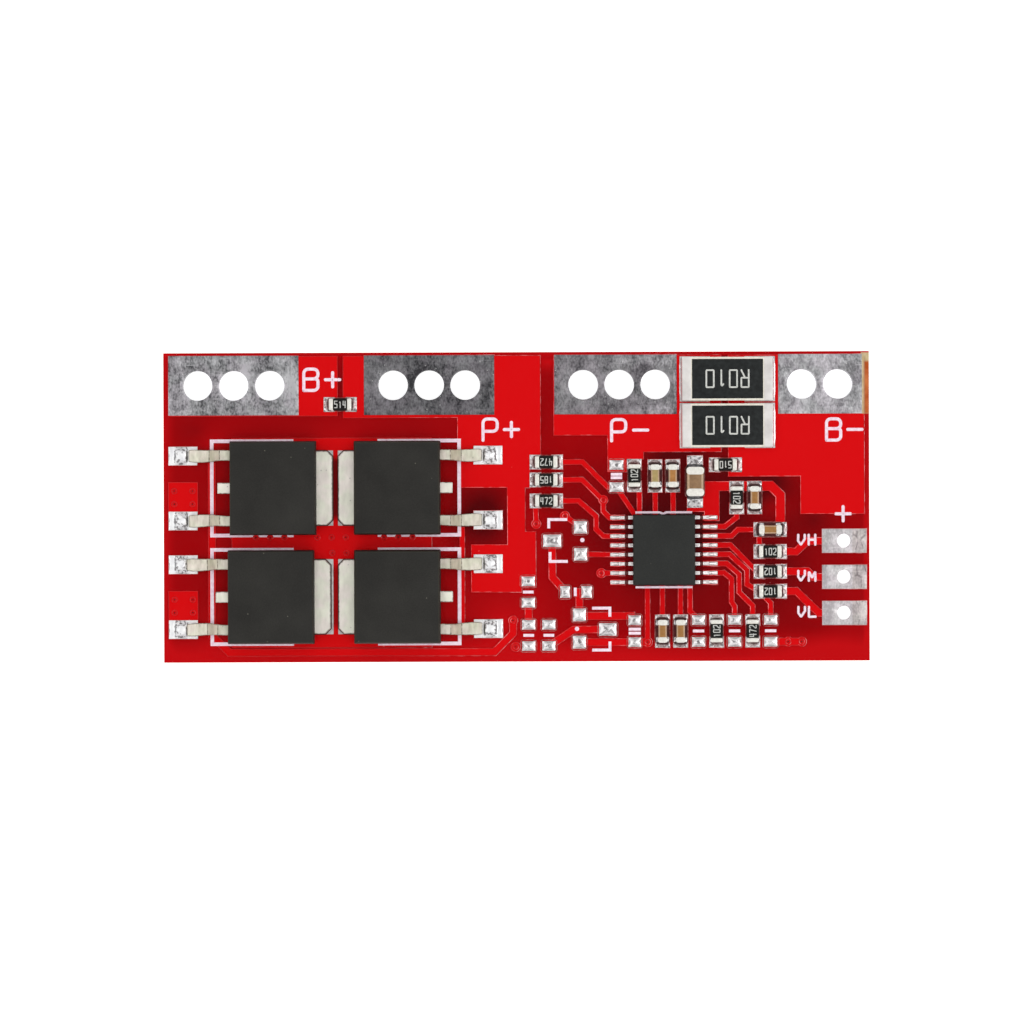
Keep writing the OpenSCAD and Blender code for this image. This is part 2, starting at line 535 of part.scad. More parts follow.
// The corner mark of a three-land footprint: a long line and a short return
function corner(x, y, long, drop) = [legend_w, [at(x + long, y), at(x, y), at(x, y) + [0, drop]]];
legend_lines = concat(
  [for (f = fets) [outline_w, [fet_at(f, outline_end, fet_outline_y), fet_at(f, -fet_rail, fet_outline_y),
    fet_at(f, -fet_rail, -fet_outline_y), fet_at(f, outline_end, -fet_outline_y)]]],
  [[thin_w, [for (p = [[-2, 0.14], [-0.3, 0.14], [-0.05, 0.04], [0.2, 0.14], [2, 0.14]])
              by_ctrl(p[0], ctrl_w / 2 + p[1])]],
   [thin_w, [by_ctrl(-2, -ctrl_w / 2 - 0.13), by_ctrl(2, -ctrl_w / 2 - 0.13)]],
   corner(-8.1, 2.16, 1.3, -0.62), corner(-8.02, -0.79, 1.25, 0.66),
   corner(-3.82, -4.09, -1.25, -0.6), corner(-3.82, -7.04, -1.25, 0.6)],
  [for (k = [0.12, -0.12]) bar(spot(spare_upper[0]), spot(spare_upper[1]), 0.8, k)],
  [for (k = [0.14, -0.14]) bar(spot(spare_fork[0]), spot(spare_fork[1]), 0.85, k)],
  [for (r = spare_rows) bar(spot(r[0]), spot(r[1]), 0.8, 0)],
  [for (r = spare_left) bar(spot(r[0]), spot(r[1]), 0.75, 0)],
  [[legend_w, [spot(bar_pair[0]) + [0.72, -0.3], spot(bar_pair[0]) + [0.72, 0.3]]]]);
legend_dots = [at(-5.74, 0.71), at(-6.14, -5.54)];

module legend() color([0.96, 0.9, 0.94]) difference() {
  translate([0, 0, board_t]) linear_extrude(foil_t + ink_t) {
    for (l = legend_lines) polygon(ribbon(l[1], l[0]));
    for (p = legend_dots) translate(p) circle(d = dot_d, $fn = small_fn);
  }
  translate([0, 0, board_t - eps]) linear_extrude(foil_t + eps) copper_shapes();
  translate([0, 0, board_t - eps]) linear_extrude(foil_t + ink_t + 2 * eps) land_shapes();
  translate([0, 0, board_t - eps]) linear_extrude(foil_t + ink_t + 2 * eps)
    for (v = vias_power) translate(v) circle(d = via_d + 2 * plating_t + 0.1, $fn = small_fn);
}

// A block with drafted sides above and below its parting plane
module moulded(l, w, h, parting, draft) intersection() {
  rotate([90, 0, 0]) translate([0, 0, -w / 2]) linear_extrude(w) polygon(moulded_side(l, h, parting, draft));
  rotate([90, 0, 90]) translate([0, 0, -l / 2]) linear_extrude(l) polygon(moulded_side(w, h, parting, draft));
}
function moulded_side(l, h, parting, draft) = [[-l / 2 + draft, 0], [l / 2 - draft, 0],
  [l / 2, parting], [l / 2 - draft, h], [-l / 2 + draft, h], [-l / 2, parting]];

// The drain plate, its tab and its cut-off leg, in the transistor's own frame
module drain_plate() {
  tip = fet_l / 2 + fet_tab_l;
  half = fet_tab_w / 2;
  linear_extrude(fet_metal_t) polygon([[-paddle_in, -half], [tip - fet_tab_cut, -half],
    [tip, -half + fet_tab_cut], [tip, half - fet_tab_cut], [tip - fet_tab_cut, half], [-paddle_in, half]]);
  flat = fet_lead_rise + fet_metal_t;
  rotate([90, 0, 0]) translate([0, 0, -fet_lead_w / 2]) linear_extrude(fet_lead_w)
    polygon([[-fet_l / 2 - fet_stub_l, fet_lead_rise], [-paddle_in - 0.55, fet_lead_rise],
      [-paddle_in, 0], [-paddle_in + 0.4, 0], [-paddle_in + 0.4, fet_metal_t],
      [-paddle_in - 0.3, flat], [-fet_l / 2 - fet_stub_l, flat]]);
}

// One bent lead, its inner end held in the body
module fet_lead() {
  body = -fet_l / 2;
  flat = fet_lead_rise + fet_metal_t;
  heel = -fet_tip + fet_foot_l;
  rotate([90, 0, 0]) translate([0, 0, -fet_lead_w / 2]) linear_extrude(fet_lead_w)
    polygon([[body + fet_lead_root, fet_lead_rise], [body + fet_lead_root, flat],
      [heel + 0.75, flat], [heel, fet_metal_t],
      [-fet_tip, fet_metal_t], [-fet_tip, 0], [heel + 0.22, 0], [heel + 0.97, fet_lead_rise]]);
}
module fet_leads() for (s = [-1, 1]) translate([0, s * fet_lead_pitch / 2, 0]) fet_lead();
module fet_die() translate([0.5 - paddle_in, -fet_die_w / 2, fet_metal_t])
  cube([fet_die_w, fet_die_w, fet_die_t]);

module on_fet(f) translate([f[0] + f[3], f[1], seat_z]) rotate([0, 0, f[2] > 0 ? 0 : 180]) children();

module transistor_body(f) color([0.17, 0.17, 0.16]) on_fet(f) difference() {
  moulded(fet_l, fet_w, fet_h, fet_lead_rise + fet_metal_t / 2, fet_draft);
  drain_plate();
  fet_leads();
  fet_die();
}
module transistor_tab(f) color([0.82, 0.81, 0.78]) on_fet(f) drain_plate();
module transistor_leads(f) color([0.78, 0.77, 0.7]) on_fet(f) fet_leads();
module transistor_dies() color([0.35, 0.35, 0.38]) for (f = fets) on_fet(f) fet_die();

// A cushion of solder that thins out to all four sides of its land
module cushion(w, h, rise) {
  rx = (w * w / 4 + rise * rise) / (2 * rise);
  ry = (h * h / 4 + rise * rise) / (2 * rise);
  intersection() {
    translate([-w / 2, -h / 2, 0]) cube([w, h, rise + eps]);
    translate([0, h, rise - rx]) rotate([90, 0, 0]) cylinder(r = rx, h = 2 * h, $fn = fine_fn);
    translate([-w, 0, rise - ry]) rotate([0, 90, 0]) cylinder(r = ry, h = 2 * w, $fn = fine_fn);
  }
}

module lead_solder() color([0.85, 0.85, 0.85]) difference() {
  for (l = lead_lands) translate([l[0], l[1], seat_z])
    cushion(l[2] - 2 * mound_rim, l[3] - 2 * mound_rim, mound_h);
  for (f = fets) on_fet(f) fet_leads();
}
module spare_solder() color([0.85, 0.85, 0.85])
  for (l = spare_lands) translate([l[0], l[1], seat_z])
    cushion(l[2] - mound_rim, l[3] - mound_rim, cushion_h);

module controller_lead() {
  rise = (ctrl_h + ctrl_standoff - ctrl_lead_t) / 2;
  flat = rise + ctrl_lead_t;
  body = ctrl_l / 2;
  heel = ctrl_tip - ctrl_foot_l;
  rotate([90, 0, 0]) translate([0, 0, -ctrl_lead_w / 2]) linear_extrude(ctrl_lead_w)
    polygon([[body - ctrl_lead_root, rise], [body - ctrl_lead_root, flat],
      [heel - 0.18, flat], [heel + 0.06, ctrl_lead_t],
      [ctrl_tip, ctrl_lead_t], [ctrl_tip, 0], [heel - 0.03, 0], [heel - 0.27, rise]]);
}
module controller_lead_rows() for (n = [1:2 * ctrl_pins])
  translate([0, pin_y(n), 0]) rotate([0, 0, pin_side(n) > 0 ? 0 : 180]) controller_lead();
module middle_block(size, z, t) translate([-size[0] / 2, -size[1] / 2, z]) cube([size[0], size[1], t]);
module die_plate() middle_block(die_plate_size, die_plate_z, ctrl_lead_t);
module die_block() middle_block(ctrl_die_size, die_plate_z + ctrl_lead_t, ctrl_die_t);
module on_board(c) translate([c[0], c[1], seat_z]) children();

module controller_body() color([0.2, 0.21, 0.2]) on_board([ctrl_x, ctrl_y]) difference() {
  translate([0, 0, ctrl_standoff])
    moulded(ctrl_l, ctrl_w, ctrl_h - ctrl_standoff, (ctrl_h - ctrl_standoff) / 2, ctrl_draft);
  controller_lead_rows();
  die_plate();
  die_block();
}
module controller_leads() color([0.8, 0.8, 0.76]) on_board([ctrl_x, ctrl_y]) controller_lead_rows();
module controller_die_plate() color([0.75, 0.6, 0.4]) on_board([ctrl_x, ctrl_y]) die_plate();
module controller_die() color([0.35, 0.35, 0.38]) on_board([ctrl_x, ctrl_y]) die_block();

// A wedge that leans on an upright face: long is its run along the land
module wedge(long, wide, tall) rotate([90, 0, 0]) translate([0, 0, -wide / 2])
  linear_extrude(wide) polygon([[0, 0], [long, 0], [0, tall]]);

module controller_solder() color([0.85, 0.85, 0.85]) for (n = [1:2 * ctrl_pins])
  translate([ctrl_x + pin_side(n) * ctrl_tip, ctrl_y + pin_y(n), seat_z])
    rotate([0, 0, pin_side(n) > 0 ? 0 : 180]) wedge(ctrl_land_toe * toe_fill, ctrl_lead_w, ctrl_lead_t);

// Element, two end caps and the black coat of a resistor
module resistor_form(l, w, h, cap, coat_l, coat_side) {
  translate([-l / 2 + cap_t, -w / 2, cap_t]) cube([l - 2 * cap_t, w, h - 2 * cap_t]);
  for (s = [-1, 1]) translate([s * (l - cap) / 2 - cap / 2, -w / 2, 0]) cube([cap, w, h]);
  translate([-coat_l / 2, -w / 2 + coat_side, cap_t]) cube([coat_l, w - 2 * coat_side, h]);
}
module capacitor_form(l, w, h, cap) {
  translate([-l / 2 + cap_t, -w / 2 + cap_t, cap_t]) cube([l - 2 * cap_t, w - 2 * cap_t, h - 2 * cap_t]);
  for (s = [-1, 1]) translate([s * (l - cap) / 2 - cap / 2, -w / 2, 0]) cube([cap, w, h]);
}
module turned_on(c) translate([c[0], c[1], seat_z]) rotate([0, 0, c[2]]) children();
module resistor(c) color([0.13, 0.12, 0.12]) turned_on(c)
  resistor_form(chip_l, chip_w, resistor_h, chip_cap_l, chip_l - 2 * chip_cap_l + 0.04, 0);
module shunt(c) color([0.12, 0.12, 0.12]) turned_on(c)
  resistor_form(shunt_l, shunt_w, shunt_h, shunt_cap_l, shunt_l - 2 * shunt_cap_l - 0.1, 0.16);
module capacitor(c) color([0.74, 0.6, 0.4]) turned_on(c)
  capacitor_form(chip_l, chip_w, capacitor_h, chip_cap_l);
module large_capacitor() color([0.62, 0.48, 0.36]) turned_on(large)
  capacitor_form(large_l, large_w, large_h, large_cap_l);

module end_solder(c, l, w, toe, tall) turned_on(c) for (s = [-1, 1])
  translate([s * l / 2, 0, 0]) rotate([0, 0, s > 0 ? 0 : 180]) wedge(toe, w, tall);
module chip_solder() color([0.85, 0.85, 0.85]) {
  for (c = resistors) end_solder(c, chip_l, chip_w, chip_land_toe * toe_fill, resistor_h * solder_climb);
  for (c = capacitors) end_solder(c, chip_l, chip_w, chip_land_toe * toe_fill, capacitor_h * solder_climb);
  end_solder(large, large_l, large_land_w, chip_land_toe * toe_fill, large_h * solder_climb);
}
module shunt_solder() color([0.85, 0.85, 0.85])
  for (c = shunts) end_solder(c, shunt_l, shunt_w, shunt_land_toe * toe_fill, shunt_h * solder_climb);

printed_board();
top_copper();
legend();
via_barrels();
lands(part_lands);
lands(spare_lands);
terminal(b_plus);  // battery_plus_terminal
terminal(p_plus);  // load_plus_terminal
terminal(p_minus);  // load_minus_terminal
terminal(b_minus);  // battery_minus_terminal
tap(taps[0]);  // cell_tap_high
tap(taps[1]);  // cell_tap_middle
tap(taps[2]);  // cell_tap_low
transistor_dies();
lead_solder();
spare_solder();
controller_body();
controller_leads();
controller_die_plate();
controller_die();
controller_solder();
large_capacitor();
chip_solder();
shunt_solder();
for (i = [0:3]) {
  transistor_body(fets[i]);
  transistor_tab(fets[i]);
  transistor_leads(fets[i]);
}
for (i = [0:1]) shunt(shunts[i]);
for (i = [0:11]) resistor(resistors[i]);
for (i = [0:5]) capacitor(capacitors[i]);
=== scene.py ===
import json
import math

import bmesh
import bpy
from mathutils import Matrix, Vector

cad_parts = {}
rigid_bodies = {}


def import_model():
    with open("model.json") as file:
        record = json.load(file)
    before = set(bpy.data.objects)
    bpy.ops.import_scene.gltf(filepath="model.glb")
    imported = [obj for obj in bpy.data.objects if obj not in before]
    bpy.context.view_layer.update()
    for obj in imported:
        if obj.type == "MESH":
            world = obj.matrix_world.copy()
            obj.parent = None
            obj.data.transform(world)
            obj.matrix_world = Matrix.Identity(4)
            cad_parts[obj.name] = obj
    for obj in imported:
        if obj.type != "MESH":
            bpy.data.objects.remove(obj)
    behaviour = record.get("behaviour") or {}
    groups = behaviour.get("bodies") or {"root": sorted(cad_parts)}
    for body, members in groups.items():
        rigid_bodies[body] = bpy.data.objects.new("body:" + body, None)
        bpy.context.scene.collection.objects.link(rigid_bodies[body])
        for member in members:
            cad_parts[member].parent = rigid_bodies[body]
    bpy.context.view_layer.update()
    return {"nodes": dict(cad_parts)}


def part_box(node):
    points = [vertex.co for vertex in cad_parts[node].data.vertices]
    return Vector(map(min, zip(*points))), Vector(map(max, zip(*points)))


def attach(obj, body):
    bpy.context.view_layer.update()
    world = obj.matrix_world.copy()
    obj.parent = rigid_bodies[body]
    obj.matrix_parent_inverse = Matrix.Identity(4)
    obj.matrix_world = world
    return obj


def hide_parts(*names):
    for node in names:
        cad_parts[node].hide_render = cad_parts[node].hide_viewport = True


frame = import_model()
mm = 0.001
hair = 1e-6  # metres; places closer than this are the same
print("frame loaded:", len(frame["nodes"]), "nodes")

boardLow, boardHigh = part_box("printed_board")
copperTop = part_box("top_copper")[1].z
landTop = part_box("part_lands")[1].z


def tint(colour):  # screen values to linear light; a colour with four values is linear already
    def linear(value):
        value /= 255
        return value / 12.92 if value <= 0.04045 else ((value + 0.055) / 1.055) ** 2.4
    return (*map(linear, colour), 1.0) if len(colour) == 3 else colour


class Graph:  # the steps that the node trees of materials, shapes and sky share
    def __init__(self, tree):
        self.tree = tree

    def add(self, kind, **settings):
        node = self.tree.nodes.new(kind)
        for key, value in settings.items():
            setattr(node, key, value)
        return node

    def feed(self, socket, value):
        if isinstance(value, bpy.types.Node):
            value = value.outputs[0]
        if isinstance(value, bpy.types.NodeSocket):
            self.tree.links.new(value, socket)
        else:
            socket.default_value = value

    def sums(self, operation, a, b=0.0, clamp=False):
        node = self.add("ShaderNodeMath", operation=operation, use_clamp=clamp)
        self.feed(node.inputs[0], a)
        self.feed(node.inputs[1], b)
        return node.outputs[0]

    def times(self, a, b):
        return self.sums("MULTIPLY", a, b)

    def plus(self, a, b, clamp=False):
        return self.sums("ADD", a, b, clamp)

    def minus(self, a, b):
        return self.sums("SUBTRACT", a, b)

    def split(self, vector):
        node = self.add("ShaderNodeSeparateXYZ")
        self.feed(node.inputs[0], vector)
        return node.outputs

    def joined(self, x=0.0, y=0.0, z=0.0):
        node = self.add("ShaderNodeCombineXYZ")
        for socket, value in zip(node.inputs, (x, y, z)):
            self.feed(socket, value)
        return node.outputs[0]

    def ramp(self, factor, *stops):
        node = self.add("ShaderNodeValToRGB")
        for i, (position, colour) in enumerate(stops):
            stop = node.color_ramp.elements[i] if i < 2 else node.color_ramp.elements.new(position)
            stop.position = position
            stop.color = tint(colour)
        self.feed(node.inputs["Fac"], factor)
        return node.outputs["Color"]


# materials: every pattern is worked out in millimetres from the object's own coordinates
class Finish(Graph):
    def __init__(self, name, roughness, metallic=0.0, specular=0.5):
        self.material = bpy.data.materials.new(name)
        self.material.use_nodes = True
        super().__init__(self.material.node_tree)
        self.surface = self.tree.nodes["Principled BSDF"]
        self.surface.inputs["Roughness"].default_value = roughness
        self.surface.inputs["Metallic"].default_value = metallic
        self.surface.inputs["Specular IOR Level"].default_value = specular
        self.place = self.scaled((1 / mm,) * 3)
        self.normal = None

    def scaled(self, scale, shift=(0, 0, 0), turn=0.0):
        mapping = self.add("ShaderNodeMapping")
        self.feed(mapping.inputs["Vector"], self.add("ShaderNodeTexCoord").outputs["Object"])
        mapping.inputs["Scale"].default_value = scale
        mapping.inputs["Location"].default_value = shift
        mapping.inputs["Rotation"].default_value = (0, 0, turn)
        return mapping.outputs["Vector"]

    def texture(self, kind, vector, **settings):  # a texture whose pattern is one unit of its vector in size
        node = self.add("ShaderNodeTex" + kind, **settings)
        self.feed(node.inputs["Vector"], vector)
        node.inputs["Scale"].default_value = 1.0
        return node

    def noise(self, size, detail=3.0, stretch=(1, 1, 1), turn=0.0):
        node = self.texture("Noise", self.scaled([1 / mm / size / s for s in stretch], turn=turn))
        node.inputs["Detail"].default_value = detail
        return node.outputs[0]

    def specks(self, size, reach):  # small separate dots: 1 in their middle, 0 between them
        node = self.texture("Voronoi", self.scaled((1 / mm / size,) * 3), feature="F1")
        return self.sums("LESS_THAN", node.outputs["Distance"], reach)

    def blot(self, x, y, reachX, reachY):  # a soft round patch centred at x, y
        scale = (1 / mm / reachX, 1 / mm / reachY, 0.0)
        node = self.add("ShaderNodeTexGradient", gradient_type="QUADRATIC_SPHERE")
        self.feed(node.inputs["Vector"], self.scaled(scale, (-x / reachX, -y / reachY, 0)))
        return node.outputs["Fac"]

    def along(self, axis):
        return self.split(self.place)["XYZ".index(axis)]

    def facing(self, axis):  # how far the surface faces along X, Y or Z
        return self.split(self.add("ShaderNodeTexCoord").outputs["Normal"])["XYZ".index(axis)]

    def between(self, value, start, end):
        node = self.add("ShaderNodeMapRange", interpolation_type="SMOOTHSTEP")
        self.feed(node.inputs["Value"], value)
        node.inputs["From Min"].default_value = start
        node.inputs["From Max"].default_value = end
        return node.outputs["Result"]

    def window(self, x0, x1, y0, y1, soft=0.04):  # 1 inside a rectangle of the board, 0 outside
        sides = [self.times(self.between(self.along(axis), low - soft, low + soft),
                            self.between(self.along(axis), high + soft, high - soft))
                 for axis, low, high in (("X", x0, x1), ("Y", y0, y1))]
        return self.times(*sides)

    def mix(self, factor, a, b, blend="MIX"):
        node = self.add("ShaderNodeMix", data_type="RGBA", blend_type=blend)
        self.feed(node.inputs[0], factor)
        for place, value in ((6, a), (7, b)):
            self.feed(node.inputs[place], tint(value) if isinstance(value, tuple) else value)
        return node.outputs[2]

    def shaded(self, base, shade):
        return self.mix(1.0, base, shade, "MULTIPLY")

    def dusted(self, base, size, reach, amount, dust):  # specks of another colour
        return self.mix(self.times(self.specks(size, reach), amount), base, dust)

    def colour(self, value):
        self.feed(self.surface.inputs["Base Color"], value)
        return self

    def rough(self, factor, low, high):
        spread = self.sums("MULTIPLY_ADD", factor, high - low)
        spread.node.inputs[2].default_value = low
        self.feed(self.surface.inputs["Roughness"], spread)
        return self

    def bump(self, height, depth):  # depth in millimetres
        node = self.add("ShaderNodeBump")
        node.inputs["Strength"].default_value = 1.0
        node.inputs["Distance"].default_value = depth * mm
        self.feed(node.inputs["Height"], height)
        if self.normal is not None:
            self.feed(node.inputs["Normal"], self.normal)
        self.normal = node.outputs["Normal"]
        self.feed(self.surface.inputs["Normal"], self.normal)
        return self


# the red mask: its gloss, and its colours over laminate, in the gaps between tabs (a painted shade) and over
# copper
maskLook = {
    "roughness": 0.2, "specular": 0.12, "gloss": (0.16, 0.25),
    "deep": (84, 1, 5), "middle": (152, 0, 5), "light": (192, 7, 14), "gap": (58, 3, 5),
    "copperDull": (212, 7, 12), "copperBright": (216, 8, 14), "track": (192, 6, 13),
    "dust": (225, 150, 150), "copperDust": (240, 190, 180),
}


def maskToneAndPaintedLight(finish):  # how light the bare laminate looks, 0 deep and 1 light: painted light and shade, partly the laminate's own tone where copper lies behind it
    tone = 0.52
    # painted light and shade: lighter patches beside the transistor bodies offset their shadow, and dark strips
    # in the gaps between the tabs are painted shade
    for x, y, reachX, reachY, amount in (
        (-2.3, -0.7, 5.0, 5.5, -0.75), (10.5, -1.5, 13.0, 8.5, -0.85), (16.0, 1.5, 8.0, 5.0, -0.45),
        (-12.8, -2.3, 3.4, 2.6, 0.7), (-22.5, 5.4, 3.5, 2.4, -0.2), (22.0, -9.5, 10.0, 5.0, 0.25),
        (-12.7, 5.4, 16.0, 2.2, 0.15), (1.5, 6.5, 3.0, 6.0, -0.15), (18.5, -4.5, 6.5, 6.5, -0.4),
        (10.5, -7.5, 9.0, 4.0, -0.2), (-12.7, 4.4, 3.0, 1.3, 0.25), (-12.7, -9.4, 3.0, 1.5, 0.15),
        (-12.4, 8.6, 1.2, 3.0, -0.35), (-12.74, 1.4, 0.6, 3.4, -0.9), (-12.74, -6.3, 0.6, 3.4, -0.9),
        (16.0, -10.4, 12.0, 1.5, -0.25), (11.5, 3.6, 4.5, 1.6, -0.5), (18.0, 1.8, 3.2, 2.6, -0.3),
        (21.0, -8.5, 6.0, 2.0, -0.2), (-5.7, -2.0, 2.5, 11.0, 0.4), (-5.7, -8.0, 3.0, 4.0, 0.35),
        (-1.0, -8.0, 6.5, 5.0, 0.45), (0.8, -1.5, 3.0, 7.0, 0.25), (-21.3, 4.4, 2.2, 2.4, 0.35),
        (-21.3, -8.5, 2.0, 2.4, 0.62), (-21.3, -3.0, 2.0, 3.0, 0.15), (-14.9, -3.8, 1.2, 1.0, -0.5),
        (2.2, 10.2, 3.0, 1.2, 0.5), (-9.0, -2.3, 2.5, 1.0, -0.3), (21.0, -1.0, 4.0, 4.0, -0.3),
        (10.0, 2.5, 5.0, 4.0, -0.2), (-23.7, -0.7, 1.2, 1.5, -0.4), (-23.7, -8.3, 1.2, 1.6, -0.3),
        (16.0, -7.5, 8.0, 4.0, -0.25), (-7.9, -0.7, 2.2, 3.0, 0.3), (-5.7, -0.7, 1.6, 1.6, 0.25),
        (-21.4, -0.7, 2.0, 1.6, 0.2), (18.0, 0.0, 3.4, 2.0, 0.25),
    ):
        tone = finish.plus(finish.times(finish.blot(x, y, reachX, reachY), amount), tone)
    # painted sheen and glow: the laminate lighter towards the board's edges
    for axis, start, end, amount in (("Y", -8.6, -10.9, 0.55), ("X", -23.9, -24.9, 0.35),
                                     ("Y", 10.5, 10.8, 0.25), ("X", 24.3, 24.6, 0.3)):
        edge = finish.between(finish.along(axis), start, end)
        tone = finish.plus(tone, finish.times(edge, amount))
    cloud = finish.times(finish.minus(finish.noise(6.0, 2.0), 0.5), 0.22)
    return finish.plus(tone, cloud, clamp=True)


# the mask stops short of the board's edge beside the right-hand lands: bare tan, and amber at the rim
strips = {"past": 0.5, "inner": 0.06, "above": 0.1, "rim": 0.34, "rimBelow": 0.5, "rimSoft": 0.12}


def bareStrips(finish, red):
    tan = finish.ramp(finish.noise(0.5, 2.0), (0.3, (192, 168, 124)), (0.7, (212, 192, 154)))
    amber = finish.ramp(finish.noise(0.7, 2.0), (0.3, (176, 78, 34)), (0.7, (206, 120, 70)))
    low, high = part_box("battery_minus_terminal")
    left, right, bottom, top = high.x / mm, boardHigh.x / mm, low.y / mm, high.y / mm
    span = finish.window(left - strips["inner"], right + strips["past"], bottom, top + strips["above"])
    rim = finish.window(right - strips["rim"], right + strips["past"], bottom, top - strips["rimBelow"],
                        strips["rimSoft"])
    return finish.mix(span, red, finish.mix(rim, tan, amber))


def bareMask():
    finish = Finish("maskOverLaminate", maskLook["roughness"], specular=maskLook["specular"])
    red = finish.ramp(maskToneAndPaintedLight(finish), (0.0, maskLook["deep"]), (1.0, maskLook["light"]),
                      (0.5, maskLook["middle"]))
    red = bareStrips(finish, red)
    red = finish.dusted(red, 2.3, 0.02, 0.5, maskLook["dust"])
    under = finish.ramp(finish.noise(5.0, 3.0), (0.3, maskLook["middle"]), (0.7, maskLook["light"]))
    red = finish.mix(finish.between(finish.facing("Z"), -0.2, -0.8), red, under)
    finish.colour(red).bump(finish.noise(0.45, 3.0), 0.006).bump(finish.noise(4.0, 1.0), 0.03)
    return finish.rough(finish.noise(1.6, 3.0), *maskLook["gloss"]).material


def copperMask():
    finish = Finish("maskOverCopper", maskLook["roughness"], specular=maskLook["specular"])
    acrossBoard = finish.between(finish.along("X"), -26.0, 14.0)
    cloud = finish.plus(acrossBoard, finish.times(finish.noise(5.0, 2.0), 0.3))
    red = finish.ramp(cloud, (0.1, maskLook["copperDull"]), (1.0, maskLook["copperBright"]))
    red = finish.mix(finish.times(finish.blot(11.0, -4.0, 16.0, 11.0), 1.1), red, maskLook["track"])
    red = bareStrips(finish, red)
    for side, depth in ((1, 0.85), (3, 0.5)):  # painted shade: the gap between two tabs is dark
        low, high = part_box(f"transistor_tab_{side}")
        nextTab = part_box(f"transistor_tab_{side + 1}")[0]
        left, right = high.x / mm - 0.05, nextTab.x / mm + 0.05
        gap = finish.window(left, right, low.y / mm + 0.5, high.y / mm - 0.5, 0.3)
        red = finish.mix(finish.times(gap, depth), red, maskLook["gap"])
    red = finish.dusted(red, 1.9, 0.02, 0.6, maskLook["copperDust"])
    finish.colour(red).bump(finish.noise(0.5, 3.0), 0.006).bump(finish.noise(3.0, 1.0), 0.02)
    return finish.rough(finish.noise(1.4, 3.0), *maskLook["gloss"]).material


def thinMask():  # mask over the edge of the foil, with a painted pale pink highlight where it faces right
    finish = Finish("maskOverEdge", 0.3, specular=0.3)
    red = finish.ramp(finish.noise(0.8, 2.0), (0.2, (196, 8, 14)), (0.9, (214, 14, 20)))
    pale = finish.ramp(finish.noise(0.5, 3.0), (0.42, (208, 24, 32)), (0.6, (252, 176, 178)))
    rightwards = finish.between(finish.facing("X"), 0.12, 0.35)
    rightHalf = finish.between(finish.along("X"), -9.0, -5.0)
    red = finish.mix(finish.times(rightwards, rightHalf), red, pale)
    return finish.colour(bareStrips(finish, red)).material


def tentMask():
    finish = Finish("maskOverVias", 0.22, specular=0.12)
    red = finish.ramp(finish.noise(0.6, 2.0), (0.3, (198, 6, 12)), (0.8, (212, 8, 14)))
    return finish.colour(red).material


def laminateEdge():
    finish = Finish("laminateEdge", 0.55)
    weave = finish.noise(0.07, 3.0, stretch=(14, 14, 1))
    broad = finish.noise(1.1, 2.0)
    cloth = finish.ramp(weave, (0.25, (188, 158, 106)), (0.75, (214, 190, 142)))
    cloth = finish.mix(finish.times(finish.between(broad, 0.45, 0.65), 0.4), cloth, (176, 128, 74))
    finish.colour(cloth).bump(weave, 0.012)
    return finish.rough(broad, 0.5, 0.7).material


def tinnedLand(name, dull, bright, roughness=0.36, crazed=None):
    finish = Finish(name, roughness, metallic=0.8)
    smear = finish.noise(1.5, 4.0, stretch=(1, 2.4, 1))
    fine = finish.noise(0.12, 3.0, stretch=(1, 1.7, 1), turn=0.12)
    grain = finish.noise(0.42, 4.0, stretch=(1, 1.6, 1))
    scratch = finish.noise(0.1, 2.0, stretch=(18, 1, 1), turn=0.9)
    blend = finish.plus(finish.times(smear, 0.42), finish.times(fine, 0.3))
    blend = finish.plus(blend, finish.times(grain, 0.28))
    grey = finish.ramp(blend, (0.41, dull), (0.59, bright))
    hue = finish.ramp(finish.noise(1.3, 2.0), (0.4, (255, 252, 255)), (0.6, (253, 255, 254)))
    grey = finish.mix(finish.times(finish.between(scratch, 0.6, 0.74), 0.5), finish.shaded(grey, hue), bright)
    grey = finish.dusted(grey, 0.5, 0.08, 0.45, (236, 236, 232))
    if crazed:
        grey = crazedThird(finish, grey, crazed)
    finish.colour(grey).bump(fine, 0.02).bump(scratch, 0.006)
    return finish.rough(blend, roughness + 0.12, roughness - 0.08).material


# a tap's outer third is dull, with fine cracks
crazing = {"start": 0.5, "soft": 0.12, "cell": (0.62, 1.1, 0.62), "turn": 0.3, "crack": (0.1, 0.02)}


def crazedThird(finish, grey, node):
    low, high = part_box(node)
    start = (low.x + high.x) / 2 / mm + crazing["start"]
    outer = finish.between(finish.along("X"), start, start + crazing["soft"])
    cell = finish.scaled([1 / mm / size for size in crazing["cell"]], turn=crazing["turn"])
    cells = finish.texture("Voronoi", cell, feature="DISTANCE_TO_EDGE")
    crack = finish.between(cells.outputs["Distance"], *crazing["crack"])
    crack = finish.times(crack, finish.between(finish.noise(0.5, 2.0), 0.45, 0.58))
    dark = finish.mix(crack, (238, 234, 230), (190, 184, 182))
    return finish.mix(outer, grey, finish.shaded(grey, dark))


def solderMetal(name, low, high, roughness, metallic=0.86, grainSize=0.22, steep=None, level=(0.8, 0.56),
                creases=None):
    finish = Finish(name, roughness, metallic=metallic)
    silver = finish.ramp(finish.noise(grainSize, 3.0), (0.34, low), (0.68, high))
    # painted dark reflection: faces steeper than level get a darker colour
    if steep:
        silver = finish.mix(finish.between(finish.facing("Z"), *level), silver, steep)
    if creases:  # small dark marks, only where the surface tilts this much
        dark = finish.between(finish.noise(creases["size"], 3.0), 0.49, 0.57)
        for start, end in creases["tilt"]:
            dark = finish.times(dark, finish.between(finish.facing("Z"), start, end))
        silver = finish.mix(finish.times(dark, 0.8), silver, (104, 98, 100))
    finish.colour(silver).bump(finish.noise(0.3, 2.0), 0.014)
    return finish.rough(finish.noise(0.5, 2.0), roughness - 0.05, roughness + 0.08).material


